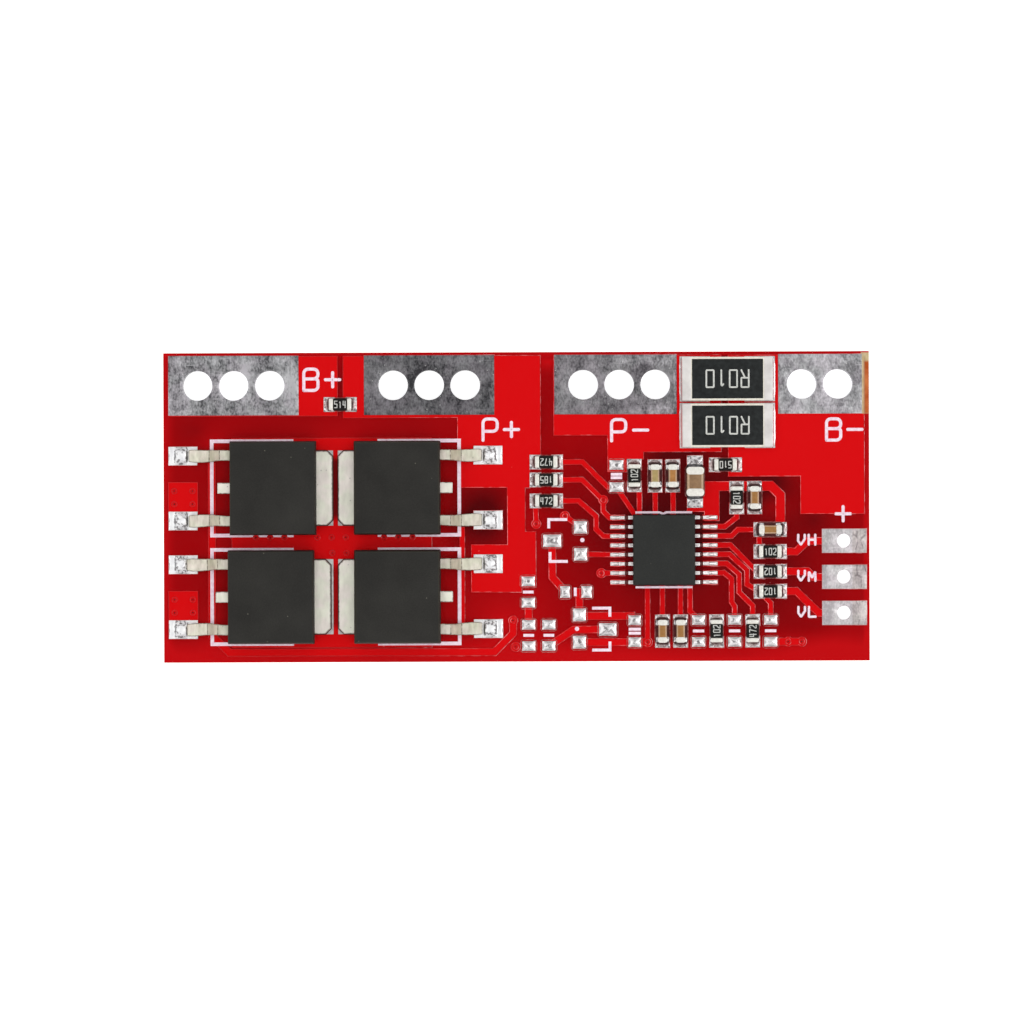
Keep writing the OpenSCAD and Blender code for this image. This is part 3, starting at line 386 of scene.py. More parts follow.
def dullTin(name, low, high, roughness, grain=0.5):
    finish = Finish(name, roughness, metallic=0.05)
    cloud = finish.noise(grain, 4.0, stretch=(1, 2.5, 1))
    pale = finish.ramp(cloud, (0.3, low), (0.75, high))
    hue = finish.ramp(finish.noise(1.1, 2.0), (0.4, (255, 250, 246)), (0.6, (249, 252, 240)))
    # painted shade: sloping faces, such as the bends of the leads, are darker
    shade = finish.ramp(finish.between(finish.facing("Z"), 0.99, 0.6), (0.0, (255, 255, 255)),
                        (1.0, (232, 229, 221)))
    pale = finish.dusted(finish.shaded(finish.shaded(pale, hue), shade), 0.8, 0.07, 0.35, (120, 116, 108))
    finish.colour(pale).bump(cloud, 0.01).bump(finish.noise(0.08, 2.0), 0.004)
    return finish.rough(finish.noise(0.9, 2.0), roughness - 0.08, roughness + 0.1).material


def moulding(name, low, high, dusty=0.5):
    finish = Finish(name, 0.62, specular=0.16)
    grain = finish.noise(0.07, 3.0)
    broad = finish.noise(2.8, 2.0)
    blend = finish.plus(finish.times(grain, 0.5), finish.times(broad, 0.5))
    dark = finish.ramp(blend, (0.3, low), (0.7, high))
    finish.colour(finish.dusted(dark, 0.9, 0.045, dusty, (128, 126, 112)))
    return finish.bump(grain, 0.012).rough(broad, 0.55, 0.7).material


def ink():
    finish = Finish("legendInk", 0.5)
    cover = finish.noise(0.25, 3.0)
    pink = finish.ramp(cover, (0.25, (240, 200, 220)), (0.7, (254, 240, 249)))
    return finish.colour(pink).bump(cover, 0.008).material


def plainGrain(name, low, high, roughness, size=0.2, depth=0.008, metallic=0.0, specular=0.5):
    finish = Finish(name, roughness, metallic, specular)
    grain = finish.noise(size, 3.0)
    return finish.colour(finish.ramp(grain, (0.3, low), (0.7, high))).bump(grain, depth).material


look = {
    "bareMask": bareMask(), "copperMask": copperMask(), "thinMask": thinMask(), "tentMask": tentMask(),
    "edge": laminateEdge(), "ink": ink(),
    "flatTin": tinnedLand("flatTin", (196, 196, 194), (236, 236, 234), 0.5),
    # the terminals and the taps are one tin, each given its own lighter or darker tone as painted reflection
    "battPlus": tinnedLand("tinBatteryPlus", (84, 84, 86), (200, 198, 201)),
    "loadPlus": tinnedLand("tinLoadPlus", (56, 55, 58), (138, 136, 139)),
    "loadMinus": tinnedLand("tinLoadMinus", (82, 80, 83), (164, 161, 164)),
    "battMinus": tinnedLand("tinBatteryMinus", (124, 122, 125), (212, 210, 213)),
    "tap": tinnedLand("tinTaps", (184, 179, 180), (238, 233, 234), 0.45, "cell_tap_middle"),
    "solder": solderMetal("brightSolder", (222, 218, 218), (250, 248, 249), 0.24, 0.6,
                          creases={"size": 0.24, "tilt": ((0.9, 0.98),)}),
    # chip heels: their pinkish tone and the dark colour on their steep faces are painted reflection
    "chipSolder": solderMetal("chipSolder", (126, 104, 104), (214, 196, 194), 0.3, 0.5, 0.14,
                              steep=(74, 62, 60)),
    "toeSolder": solderMetal("toeSolder", (214, 206, 206), (255, 252, 250), 0.3, 0.6, 0.16),
    # lead mounds: near white and little metallic, so the top shows as a bright disc, a painted highlight; the
    # dark colour on the steep faces is painted dark reflection
    "moundSolder": solderMetal("moundSolder", (238, 238, 240), (255, 255, 255), 0.2, 0.24, 0.4,
                               steep=(70, 72, 76), level=(0.86, 0.6),
                               creases={"size": 0.18, "tilt": ((0.62, 0.78), (0.975, 0.9))}),
    # painted shade for the sloping faces of the controller's legs
    "shade": plainGrain("bentMetalShade", (84, 44, 44), (120, 80, 78), 0.5, 0.1, metallic=0.3),
    # painted contact shadow: a dark film under and just past each chip; then a thin mottled dark red to pale
    # pink ridge around chips and spare lands
    "flux": plainGrain("fluxFilm", (56, 12, 12), (96, 30, 28), 0.3, 0.15),
    "fluxRim": plainGrain("fluxRim", (120, 24, 28), (214, 150, 146), 0.3, 0.28),
    # painted shade: the dark line along each tab's edge on its land
    "seam": plainGrain("seamFlux", (44, 26, 22), (96, 70, 62), 0.4, 0.12, metallic=0.3),
    # painted shade in the holes of the vias
    "pit": plainGrain("ventPit", (22, 4, 4), (150, 6, 10), 0.6, 3.0),
    "tab": dullTin("tabTin", (228, 224, 218), (255, 252, 246), 0.5),
    "lead": dullTin("leadTin", (196, 191, 178), (240, 235, 226), 0.42, 0.3),
    # bevelled edges of the leads and tabs: dark outlines as painted shade, with pale spots as painted highlight
    "leadEdge": plainGrain("leadEdge", (84, 74, 58), (196, 188, 172), 0.45, 0.16, 0.01, 0.1),
    "tabEdge": plainGrain("tabEdge", (128, 120, 108), (236, 232, 224), 0.45, 0.2, 0.01, 0.1),
    "body": moulding("transistorMoulding", (33, 32, 30), (51, 50, 47)),
    # the moulding's bevelled edges a little lighter and browner: painted highlight on its edge
    "bodyRim": moulding("mouldingRim", (42, 40, 35), (58, 56, 48), 0.2),
    "controller": moulding("controllerMoulding", (38, 39, 38), (50, 51, 49), 0.15),
    "coat": plainGrain("blackCoat", (12, 12, 10), (28, 27, 24), 0.5, specular=0.15),
    "shuntCoat": plainGrain("shuntCoat", (26, 28, 28), (40, 43, 43), 0.5, 0.3, specular=0.15),
    "alumina": plainGrain("alumina", (222, 216, 200), (240, 236, 224), 0.6),
    "cap": plainGrain("endPlating", (224, 221, 212), (244, 242, 234), 0.34, 0.15, 0.01, 0.2),
    "shuntCap": plainGrain("shuntPlating", (206, 201, 198), (232, 228, 225), 0.4, 0.7, 0.02, 0.15),
    "tan": plainGrain("tanCeramic", (144, 96, 40), (166, 118, 56), 0.5, 0.25),
    "tanPale": plainGrain("tanCeramicPale", (152, 131, 80), (176, 153, 98), 0.5, 0.25),
    "tanWarm": plainGrain("tanCeramicWarm", (158, 104, 44), (180, 126, 62), 0.5, 0.25),
    "tanDeep": plainGrain("tanCeramicDeep", (122, 92, 60), (146, 112, 76), 0.5, 0.3),
    # painted highlight: the ceramic's bevels and long sides are lighter
    "ceramicEdge": plainGrain("ceramicEdge", (178, 146, 116), (202, 172, 142), 0.5, 0.25),
    "digits": plainGrain("codeInk", (186, 188, 182), (222, 222, 216), 0.5),
    "plating": plainGrain("holePlating", (150, 140, 120), (196, 188, 170), 0.35, 0.2, 0.01, 0.7),
    "dieMetal": plainGrain("dieMetal", (60, 60, 66), (80, 80, 88), 0.25, 0.3, 0.0, 0.5),
    "bareCopper": plainGrain("bareCopper", (190, 130, 90), (214, 156, 112), 0.35, 0.3, 0.01, 0.9),
}
print("materials:", len(look))


# how close corners are joined, and the angles that merge flat faces, bevel edges and smooth them
shaping = {"weld": 0.0005, "flat": 0.5, "bevelOver": 32, "smoothUnder": 40}


def asObject(name, mesh):
    piece = bpy.data.objects.new(name, mesh)
    bpy.context.scene.collection.objects.link(piece)
    return piece


def meshOf(name, shape, *materials):
    mesh = bpy.data.meshes.new(name)
    shape.to_mesh(mesh)
    shape.free()
    for material in materials:
        mesh.materials.append(material)
    return mesh


def bake(piece):  # the evaluated shape becomes the piece's own plain mesh
    graph = bpy.context.evaluated_depsgraph_get()
    mesh = bpy.data.meshes.new_from_object(
        piece.evaluated_get(graph), preserve_all_data_layers=True, depsgraph=graph)
    piece.modifiers.clear()
    piece.data = mesh
    return piece


def merged(node, whole=True):  # a CAD node's shape with its triangles joined, and if whole its flat faces too
    shape = bmesh.new()
    shape.from_mesh(frame["nodes"][node].data)
    bmesh.ops.remove_doubles(shape, verts=shape.verts, dist=shaping["weld"] * mm)
    if whole:
        bmesh.ops.dissolve_limit(shape, angle_limit=math.radians(shaping["flat"]), verts=shape.verts,
                                 edges=shape.edges)
    return shape


def islands(node):  # the lowest and highest corner of each separate solid in a node
    shape = merged(node, False)
    boxes, seen = [], set()
    for start in shape.verts:
        if start.index in seen:
            continue
        seen.add(start.index)
        stack, members = [start], []
        while stack:
            vert = stack.pop()
            members.append(vert.co)
            for edge in vert.link_edges:
                other = edge.other_vert(vert)
                if other.index not in seen:
                    seen.add(other.index)
                    stack.append(other)
        boxes.append((Vector(map(min, zip(*members))), Vector(map(max, zip(*members)))))
    shape.free()
    return boxes


def settle(piece, slot, *nodes):
    if nodes:
        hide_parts(*nodes)
    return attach(piece, "root")


def smoothed(mesh):  # smooth faces, with sharp edges kept where the surface turns more
    shape = bmesh.new()
    shape.from_mesh(mesh)
    for face in shape.faces:
        face.smooth = True
    for edge in shape.edges:
        if len(edge.link_faces) == 2:
            edge.smooth = edge.calc_face_angle(0) < math.radians(shaping["smoothUnder"])
    shape.to_mesh(mesh)
    shape.free()


def bevelled(name, node, slot, material, width, segments=2, rim=None, before=None):
    shape = merged(node)
    if before:
        before(shape)
    piece = asObject(name, meshOf(name, shape, *filter(None, (material, rim))))
    edge = piece.modifiers.new("edge", "BEVEL")
    edge.width = width * mm
    edge.segments = segments
    edge.limit_method = "ANGLE"
    edge.angle_limit = math.radians(shaping["bevelOver"])
    if rim:
        edge.material = 1
    bake(piece)
    smoothed(piece.data)
    return settle(piece, slot, node)


def plainCopy(name, node, slot, material):
    return settle(asObject(name, meshOf(name, merged(node, False), material)), slot, node)


def makeBoard():
    mesh = meshOf("laminate", merged("printed_board", False), look["bareMask"], look["edge"])
    for face in mesh.polygons:
        level = abs(face.normal.z) > 0.7
        face.material_index = 0 if level else 1
    return settle(asObject("laminate", mesh), "laminate", "printed_board")


makeBoard()
plainCopy("coveredCopper", "top_copper", "masked_copper", look["copperMask"])
print("laminate and copper")

# plated terminals, taps and lands, with the finish of each and the widths of their bevels
tinned = {"battery_plus_terminal": "battPlus", "load_plus_terminal": "loadPlus",
          "load_minus_terminal": "loadMinus", "battery_minus_terminal": "battMinus",
          "cell_tap_high": "tap", "cell_tap_middle": "tap", "cell_tap_low": "tap"}
land = {"tinnedEdge": 0.03, "edge": 0.015, "barrelEdge": 0.01}
legLand = {"under": 0.5, "width": 0.7, "inner": 0.14, "near": 0.05}


def inside(vert, low, high):
    return low.x - hair <= vert.co.x <= high.x + hair and low.y - hair <= vert.co.y <= high.y + hair


def slimLegLands(piece):  # the lands of the controller's legs are narrower, and stop short of its body
    middle = sum(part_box("controller_body"), Vector()) / 2
    for low, high in islands("part_lands"):
        if high.y - low.y < legLand["under"] * mm:
            centreY, inner = (low.y + high.y) / 2, (low.x if low.x > middle.x else high.x)
            for vert in piece.data.vertices:
                if inside(vert, low, high):
                    vert.co.y = centreY + (vert.co.y - centreY) * legLand["width"]
                    if abs(vert.co.x - inner) < legLand["near"] * mm:
                        vert.co.x += math.copysign(legLand["inner"] * mm, vert.co.x - middle.x)


for node, material in tinned.items():
    bevelled(node + "_tinned", node, "tinning", look[material], land["tinnedEdge"])
slimLegLands(bevelled("fittedLands", "part_lands", "tinning", look["flatTin"], land["edge"], 1))
bevelled("bareLands", "spare_lands", "tinning", look["solder"], land["edge"], 1)
bevelled("viaTubes", "via_barrels", "via_plating", look["plating"], land["barrelEdge"], 1)
plainCopy("printedLines", "legend", "legend_ink", look["ink"])
print("terminals and lands")

# power transistors; a lead is wider past its sheared shoulder: (distance from the body, share of its width)
transistor = {"bodyEdge": 0.08, "tabEdge": 0.06, "leadEdge": 0.05, "sway": 0.03, "swayTurns": (2.1, 1.7),
              "leadWidths": ((-1.2, 0.94), (0.1, 0.96), (1.0, 0.99), (1.2, 1.1), (1.6, 1.11), (1.9, 1.15),
                             (2.5, 1.18), (2.9, 1.08))}


def shapeLeads(shape, leads, body):
    bodyLow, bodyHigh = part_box(body)
    way = 1 if sum(low.x for low, high in leads) > 2 * bodyLow.x else -1
    face = bodyHigh.x if way > 0 else bodyLow.x
    steps, (alongTurn, nextTurn) = transistor["leadWidths"], transistor["swayTurns"]
    for reach, _ in steps[1:-1]:
        parts = list(shape.verts) + list(shape.edges) + list(shape.faces)
        cut = (face + way * reach * mm, 0, 0)
        bmesh.ops.bisect_plane(shape, geom=parts, plane_co=cut, plane_no=(1, 0, 0))
    for number, (low, high) in enumerate(leads):
        centre = (low.y + high.y) / 2
        for vert in shape.verts:
            if low.y - hair <= vert.co.y <= high.y + hair:
                reach = way * (vert.co.x - face) / mm
                for (a, wideA), (b, wideB) in zip(steps, steps[1:]):
                    if a <= reach <= b + hair / mm / 10:
                        wide = wideA + (wideB - wideA) * (reach - a) / (b - a)
                        wave = math.sin(alongTurn * reach + nextTurn * number + face / mm)
                        vert.co.y = centre + (vert.co.y - centre) * wide + transistor["sway"] * mm * wave
                        break


for i in range(1, 5):
    bevelled(f"powerBody{i}", f"transistor_body_{i}", "moulding", look["body"], transistor["bodyEdge"], 3,
             rim=look["bodyRim"])
    bevelled(f"powerTab{i}", f"transistor_tab_{i}", "drain_metal", look["tab"], transistor["tabEdge"], 3,
             rim=look["tabEdge"])
    node = f"transistor_leads_{i}"
    bevelled(f"powerLeads{i}", node, "lead_metal", look["lead"], transistor["leadEdge"], 3,
             rim=look["leadEdge"],
             before=lambda shape: shapeLeads(shape, islands(node), f"transistor_body_{i}"))
dieEdge = 0.02
bevelled("powerDies", "transistor_dies", "silicon", look["dieMetal"], dieEdge, 1)
print("power transistors")

# controller: widths of its bevels, and how far a face of a leg leans before it is painted dark as shade
controller = {"bodyEdge": 0.05, "leadEdge": 0.025, "steep": 0.35}


def makeController():
    bevelled("controllerCase", "controller_body", "moulding", look["controller"], controller["bodyEdge"], 3)
    legs = bevelled("controllerLegs", "controller_leads", "lead_metal", look["toeSolder"],
                    controller["leadEdge"])
    legs.data.materials.append(look["shade"])
    for face in legs.data.polygons:  # painted shade: the sloping part of a leg is dark
        if abs(face.normal.x) > controller["steep"]:
            face.material_index = 1
    bevelled("controllerPlate", "controller_die_plate", "die_plate", look["bareCopper"], dieEdge, 1)
    bevelled("controllerChip", "controller_die", "silicon", look["dieMetal"], dieEdge, 1)


makeController()
print("controller")


class Tree(Graph):  # a geometry node tree: its inputs are named sizes and materials
    def __init__(self, name, sizes, *materials):
        super().__init__(bpy.data.node_groups.new(name, "GeometryNodeTree"))
        sockets = self.tree.interface
        sockets.new_socket("Geometry", in_out="INPUT", socket_type="NodeSocketGeometry")
        self.ids = {}
        for label in (*sizes, *materials):
            kind = "NodeSocketMaterial" if label in materials else "NodeSocketFloat"
            self.ids[label] = sockets.new_socket(label, in_out="INPUT", socket_type=kind).identifier
        sockets.new_socket("Geometry", in_out="OUTPUT", socket_type="NodeSocketGeometry")
        self.start = self.add("NodeGroupInput")
        self.end = self.add("NodeGroupOutput")

    def __getitem__(self, label):
        return self.start.outputs[label]

    def step(self, kind, settings=None, **inputs):  # one geometry node, with its inputs by name
        node = self.add("GeometryNode" + kind, **(settings or {}))
        for key, value in inputs.items():
            self.feed(node.inputs[key.replace("_", " ")], value)
        return node

    def named(self, label):
        node = self.step("InputNamedAttribute", {"data_type": "FLOAT"}, Name=label)
        return node.outputs["Attribute"]

    def place(self):
        return self.split(self.step("InputPosition"))

    def stored(self, geometry, label, value):
        return self.step("StoreNamedAttribute", {"data_type": "FLOAT", "domain": "POINT"}, Geometry=geometry,
                         Name=label, Value=value)

    def profile(self, points, value):  # a height read off a smooth curve through (place, height)
        node = self.add("ShaderNodeFloatCurve")
        line = node.mapping.curves[0]
        for i, (place, height) in enumerate(points):
            if i < 2:
                line.points[i].location = (place, height)
            else:
                line.points.new(place, height)
        node.mapping.update()
        self.feed(node.inputs["Value"], value)
        return node.outputs[0]

    def circle(self, sides, radius):
        return self.step("CurvePrimitiveCircle", {"mode": "RADIUS"}, Resolution=sides, Radius=radius)

    def rounded(self, line, steps):
        return self.step("FilletCurve", {"mode": "POLY"}, Curve=line, Count=steps, Radius=self["Corner"],
                         Limit_Radius=True)

    def finish(self, geometry, material, **patch):  # a patch is a second material and where it goes
        real = self.step("RealizeInstances", Geometry=geometry)
        smooth = self.step("SetShadeSmooth", Geometry=real)
        painted = self.step("SetMaterial", Geometry=smooth, Material=material)
        if patch:
            painted = self.step("SetMaterial", Geometry=painted, **patch)
        self.feed(self.end.inputs[0], painted)
        return self

    def run(self, piece, **values):
        modifier = piece.modifiers.new("shape", "NODES")
        modifier.node_group = self.tree
        for label, value in values.items():
            modifier[self.ids[label]] = value
        return bake(piece)


# round strokes along the edges of a line drawing
strokeShape = {"sides": 10, "cornerSteps": 4, "ballSegments": 12, "ballRings": 8}


def strokeTree():
    tree = Tree("strokes", ("Radius", "Corner", "Flatness"), "Ink")
    lines = tree.step("MeshToCurve", Mesh=tree["Geometry"])
    soft = tree.rounded(lines, strokeShape["cornerSteps"])
    ring = tree.circle(strokeShape["sides"], tree["Radius"])
    tube = tree.step("CurveToMesh", Curve=soft, Profile_Curve=ring, Fill_Caps=True)
    ball = tree.step("MeshUVSphere", Segments=strokeShape["ballSegments"], Rings=strokeShape["ballRings"],
                     Radius=tree["Radius"])
    knots = tree.step("CurveToPoints", {"mode": "EVALUATED"}, Curve=soft)
    capped = tree.step("InstanceOnPoints", Points=knots.outputs["Points"], Instance=ball)
    both = tree.step("JoinGeometry")
    for part in (capped, tube):
        tree.feed(both.inputs[0], part)
    low = tree.step("Transform", Geometry=both, Scale=tree.joined(1.0, 1.0, tree["Flatness"]))
    return tree.finish(low, tree["Ink"])


def pointMesh(name, points, **attributes):
    mesh = bpy.data.meshes.new(name)
    mesh.from_pydata([tuple(p) for p in points], [], [])
    for label, values in attributes.items():
        layer = mesh.attributes.new(label, "FLOAT", "POINT")
        layer.data.foreach_set("value", [float(v) for v in values])
    return asObject(name, mesh)


strokes = strokeTree()

glyphs = {
    "B": [[(0, 0), (0, 1), (1, 1), (1, 0.54), (0, 0.54)], [(0.8, 0.54), (1, 0.54), (1, 0), (0, 0)]],
    "P": [[(0, 0), (0, 1), (1, 1), (1, 0.42), (0, 0.42)]],
    "R": [[(0, 0), (0, 1), (1, 1), (1, 0.45), (0, 0.45)], [(0.5, 0.45), (1, 0)]],
    "+": [[(0, 0.5), (1, 0.5)], [(0.5, 0), (0.5, 1)]],
    "-": [[(0, 0.5), (1, 0.5)]],
    "V": [[(0, 1), (0, 0.4), (0.4, 0), (1, 0.6), (1, 1)]],
    "H": [[(0, 0), (0, 1)], [(1, 0), (1, 1)], [(0, 0.5), (1, 0.5)]],
    "M": [[(0, 0), (0, 1), (0.5, 0.3), (1, 1), (1, 0)]],
    "L": [[(0, 1), (0, 0), (1, 0)]],
    "0": [[(0, 0), (0, 1), (1, 1), (1, 0), (0, 0)]],
    "1": [[(0.28, 0.82), (0.55, 1), (0.55, 0)]],
    "2": [[(0, 0.85), (0, 1), (1, 1), (1, 0.55), (0, 0.15), (0, 0), (1, 0)]],
    "4": [[(0.1, 1), (0, 0.4), (1, 0.4)], [(0.82, 1), (0.82, 0)]],
    "5": [[(1, 1), (0, 1), (0, 0.55), (1, 0.55), (1, 0), (0, 0)]],
    "7": [[(0, 1), (1, 1), (0.4, 0)]],
    "8": [[(0, 0), (0, 1), (1, 1), (1, 0), (0, 0)], [(0, 0.52), (1, 0.52)]],
}


class Drawing:  # line drawings of characters, collected into one mesh of edges
    def __init__(self):
        self.points, self.edges = [], []

    def line(self, points):
        closed = points[0] == points[-1]
        body = points[:-1] if closed else points
        first, count = len(self.points), len(body)
        self.points += body
        self.edges += [(first + i, first + i + 1) for i in range(count - 1)]
        if closed:
            self.edges.append((first + count - 1, first))

    def word(self, text, centre, height, width, gap=0.0, turn=0):
        total = len(text) * width + (len(text) - 1) * gap
        cos, sin = math.cos(math.radians(turn)), math.sin(math.radians(turn))
        for i, letter in enumerate(text):
            for stroke in glyphs[letter]:
                placed = []
                for u, v in stroke:
                    x = -total / 2 + i * (width + gap) + u * width
                    y = (v - 0.5) * height
                    across, up = (x * cos - y * sin) * mm, (x * sin + y * cos) * mm
                    placed.append((centre[0] + across, centre[1] + up, 0.0))
                self.line(placed)

    def raised(self, name, height, stroke, material, slot):  # stroke: its radius, corner and flatness
        mesh = bpy.data.meshes.new(name)
        mesh.from_pydata(self.points, self.edges, [])
        piece = strokes.run(asObject(name, mesh), Radius=stroke[0] * mm, Corner=stroke[1] * mm,
                            Flatness=stroke[2], Ink=material)
        piece.data.transform(Matrix.Translation((0, 0, height)))
        return settle(piece, slot)


# marks at the terminals: letter, sign, height over the middle or lower edge, and how far right of the land
marks = {
    "letter": (1.5, 1.0), "sign": (1.0, 1.0), "stroke": (0.115, 0.3, 0.2), "tapPlus": (1.5, 1.05),
    "small": (0.68, 0.46, 0.28), "smallStroke": (0.09, 0.03, 0.3), "beside": (1.07, 0.08),
    "battery_plus_terminal": ("B", "+", 0.5, 0.4, 0.87, 2.4),
    "load_plus_terminal": ("P", "+", 0, -1.05, -0.3, 1.2),
    "load_minus_terminal": ("P", "-", 0, -1.12, -4.1, -2.55),
    "battery_minus_terminal": ("B", "-", 0, -1.12, -2.0, -0.5),
    "cell_tap_high": "VH", "cell_tap_middle": "VM", "cell_tap_low": "VL",
}


def terminalMarks():
    big, small = Drawing(), Drawing()
    for node in tinned:
        low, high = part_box(node)
        if node.startswith("cell"):
            beside, over = marks["beside"]
            centre = (low.x - beside * mm, (low.y + high.y) / 2 + over * mm)
            small.word(marks[node], centre, *marks["small"])
        else:
            letter, sign, share, over, letterX, signX = marks[node]
            y = low.y + (high.y - low.y) * share + over * mm
            big.word(letter, (high.x + letterX * mm, y), *marks["letter"])
            big.word(sign, (high.x + signX * mm, y), *marks["sign"])
    low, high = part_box("cell_tap_high")
    right, over = marks["tapPlus"]
    big.word("+", (low.x + right * mm, high.y + over * mm), *marks["sign"])
    big.raised("terminalMarks", copperTop, marks["stroke"], look["ink"], "legend_ink")
    small.raised("tapMarks", copperTop, marks["smallStroke"], look["ink"], "legend_ink")


# value codes: height, width and gap of a digit, its stroke, and each resistor's code with its turn
codes = {
    "digit": (0.46, 0.18, 0.12), "stroke": (0.032, 0.02, 0.3), "wide": (1.2, 0.52, 0.3),
    "wideStroke": (0.06, 0.05, 0.15), "shunt": ("R010", 180),
    "resistors": (("514", 0), ("472", 180), ("185", 180), ("472", 0), ("102", 90), ("510", 180), ("102", -90),
                  ("102", 0), ("102", 180), ("102", 180), ("102", 90), ("472", 90)),
}


def partCodes():
    small, large = Drawing(), Drawing()
    for i, (text, turn) in enumerate(codes["resistors"], 1):
        low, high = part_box(f"resistor_{i}")
        small.word(text, (low + high) / 2, *codes["digit"], turn)
    small.raised("resistorCodes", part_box("resistor_1")[1].z, codes["stroke"], look["digits"], "resistor_coat")
    for node in ("shunt_1", "shunt_2"):
        low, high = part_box(node)
        large.word(codes["shunt"][0], (low + high) / 2, *codes["wide"], codes["shunt"][1])
    large.raised("shuntCodes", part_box("shunt_1")[1].z, codes["wideStroke"], look["digits"], "shunt_coat")


terminalMarks()
partCodes()
print("lettering")

# chip parts: plated ends with a core between them, and a coat on top where there is one
chipShapes = {
    "resistor": {"cap": 0.3, "coatGap": 0.0, "side": 0.0},
    "shunt": {"cap": 0.65, "coatGap": 0.05, "side": 0.16},
    "capacitor": {"cap": 0.38, "edge": 0.1, "skin": 0.045, "slim": 0.14},
    "large": {"cap": 0.53, "edge": 0.16, "skin": 0.03, "slim": 0.04},
}
coated = {"skin": 0.03, "coreEdge": 0.03, "capEdge": 0.07, "coatEdge": 0.02, "capDrop": 0.4}
fired = {"capEdge": 0.08, "capCorner": 0.42}
rounding = {"cornerSteps": 5, "edgeSteps": 3, "edgeOver": 60}


def roundedBox(shape, low, high, radius, material, corner=0.0):  # corner rounds the outline from above
    ends = Vector(low), Vector(high)
    made = bmesh.ops.create_cube(shape, size=1.0)["verts"]
    size, centre = ends[1] - ends[0], (ends[0] + ends[1]) / 2
    for vert in made:
        vert.co = Vector(a * b for a, b in zip(vert.co, size)) + centre
    faces = {face for vert in made for face in vert.link_faces}
    for face in faces:
        face.material_index = material
    bevel = {"offset_type": "OFFSET", "profile": 0.5, "affect": "EDGES", "clamp_overlap": True,
             "material": material}
    if corner:
        upright = {edge for vert in made for edge in vert.link_edges
                   if abs(edge.verts[0].co.z - edge.verts[1].co.z) > size.z / 2}
        rounded = bmesh.ops.bevel(shape, geom=list(upright), offset=corner, segments=rounding["cornerSteps"],
                                  **bevel)
        faces = {face for face in faces if face.is_valid} | set(rounded["faces"])
    edges = {edge for face in faces for edge in face.edges
             if not corner or edge.calc_face_angle(0) > math.radians(rounding["edgeOver"])}
    offset = min(radius, min(size) * 0.45)
    bmesh.ops.bevel(shape, geom=list(edges), offset=offset, segments=rounding["edgeSteps"], **bevel)


def plateEnds(shape, length, width, top, cap, radius, corner=0.0):
    for s in (-1, 1):
        start, end = sorted((s * (length / 2 - cap), s * length / 2))
        roundedBox(shape, (start, -width / 2, 0), (end, width / 2, top), radius, 1, corner)


def buildCoated(shape, length, width, height, cap, coatGap, side):
    skin = coated["skin"] * mm
    roundedBox(shape, (-length / 2 + skin, -width / 2 + skin / 2, skin),
               (length / 2 - skin, width / 2 - skin / 2, height - skin), coated["coreEdge"] * mm, 0)
    plateEnds(shape, length, width, height - skin * coated["capDrop"], cap, coated["capEdge"] * mm)
    coat = length / 2 - cap - coatGap
    roundedBox(shape, (-coat, -width / 2 + side, height - 2 * skin), (coat, width / 2 - side, height),
               coated["coatEdge"] * mm, 2)


def buildFired(shape, length, width, height, cap, edge, skin, slim):
    width -= slim
    roundedBox(shape, (-length / 2 + skin, -width / 2 + skin, skin),
               (length / 2 - skin, width / 2 - skin, height - skin), edge, 2)
    for face in shape.faces:  # the top and the ends show the ceramic, the rest is lighter, a painted highlight on its edges
        if face.normal.z > 0.99 or abs(face.normal.x) > 0.99:
            face.material_index = 0
    plateEnds(shape, length, width, height, cap, fired["capEdge"] * mm, cap * fired["capCorner"])


def chipPiece(name, node, slot, kind, build, *materials):
    low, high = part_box(node)
    size, centre = high - low, (low + high) / 2
    upright = size.y > size.x
    length, width = (size.y, size.x) if upright else (size.x, size.y)
    shape = bmesh.new()
    build(shape, length, width, size.z, **{label: value * mm for label, value in chipShapes[kind].items()})
    turn = Matrix.Rotation(math.radians(90), 4, "Z") if upright else Matrix.Identity(4)
    shape.transform(Matrix.Translation((centre.x, centre.y, low.z)) @ turn)
    piece = asObject(name, meshOf(name, shape, *(look[material] for material in materials)))
    smoothed(piece.data)
    return settle(piece, slot, node)


for i in range(1, 13):
    chipPiece(f"chipResistor{i}", f"resistor_{i}", "resistor_coat", "resistor", buildCoated,
              "alumina", "cap", "coat")
for i, ceramic in enumerate(("tanPale", "tanWarm", "tan", "tan", "tan", "tan"), 1):
    chipPiece(f"chipCapacitor{i}", f"capacitor_{i}", "capacitor_ceramic", "capacitor", buildFired,
              ceramic, "cap", "ceramicEdge")
chipPiece("chipCapacitorLarge", "large_capacitor", "large_capacitor_ceramic", "large", buildFired,
          "tanDeep", "cap", "ceramicEdge")
for i in (1, 2):
    chipPiece(f"currentShunt{i}", f"shunt_{i}", "shunt_coat", "shunt", buildCoated,
              "alumina", "shuntCap", "shuntCoat")
print("chip parts")

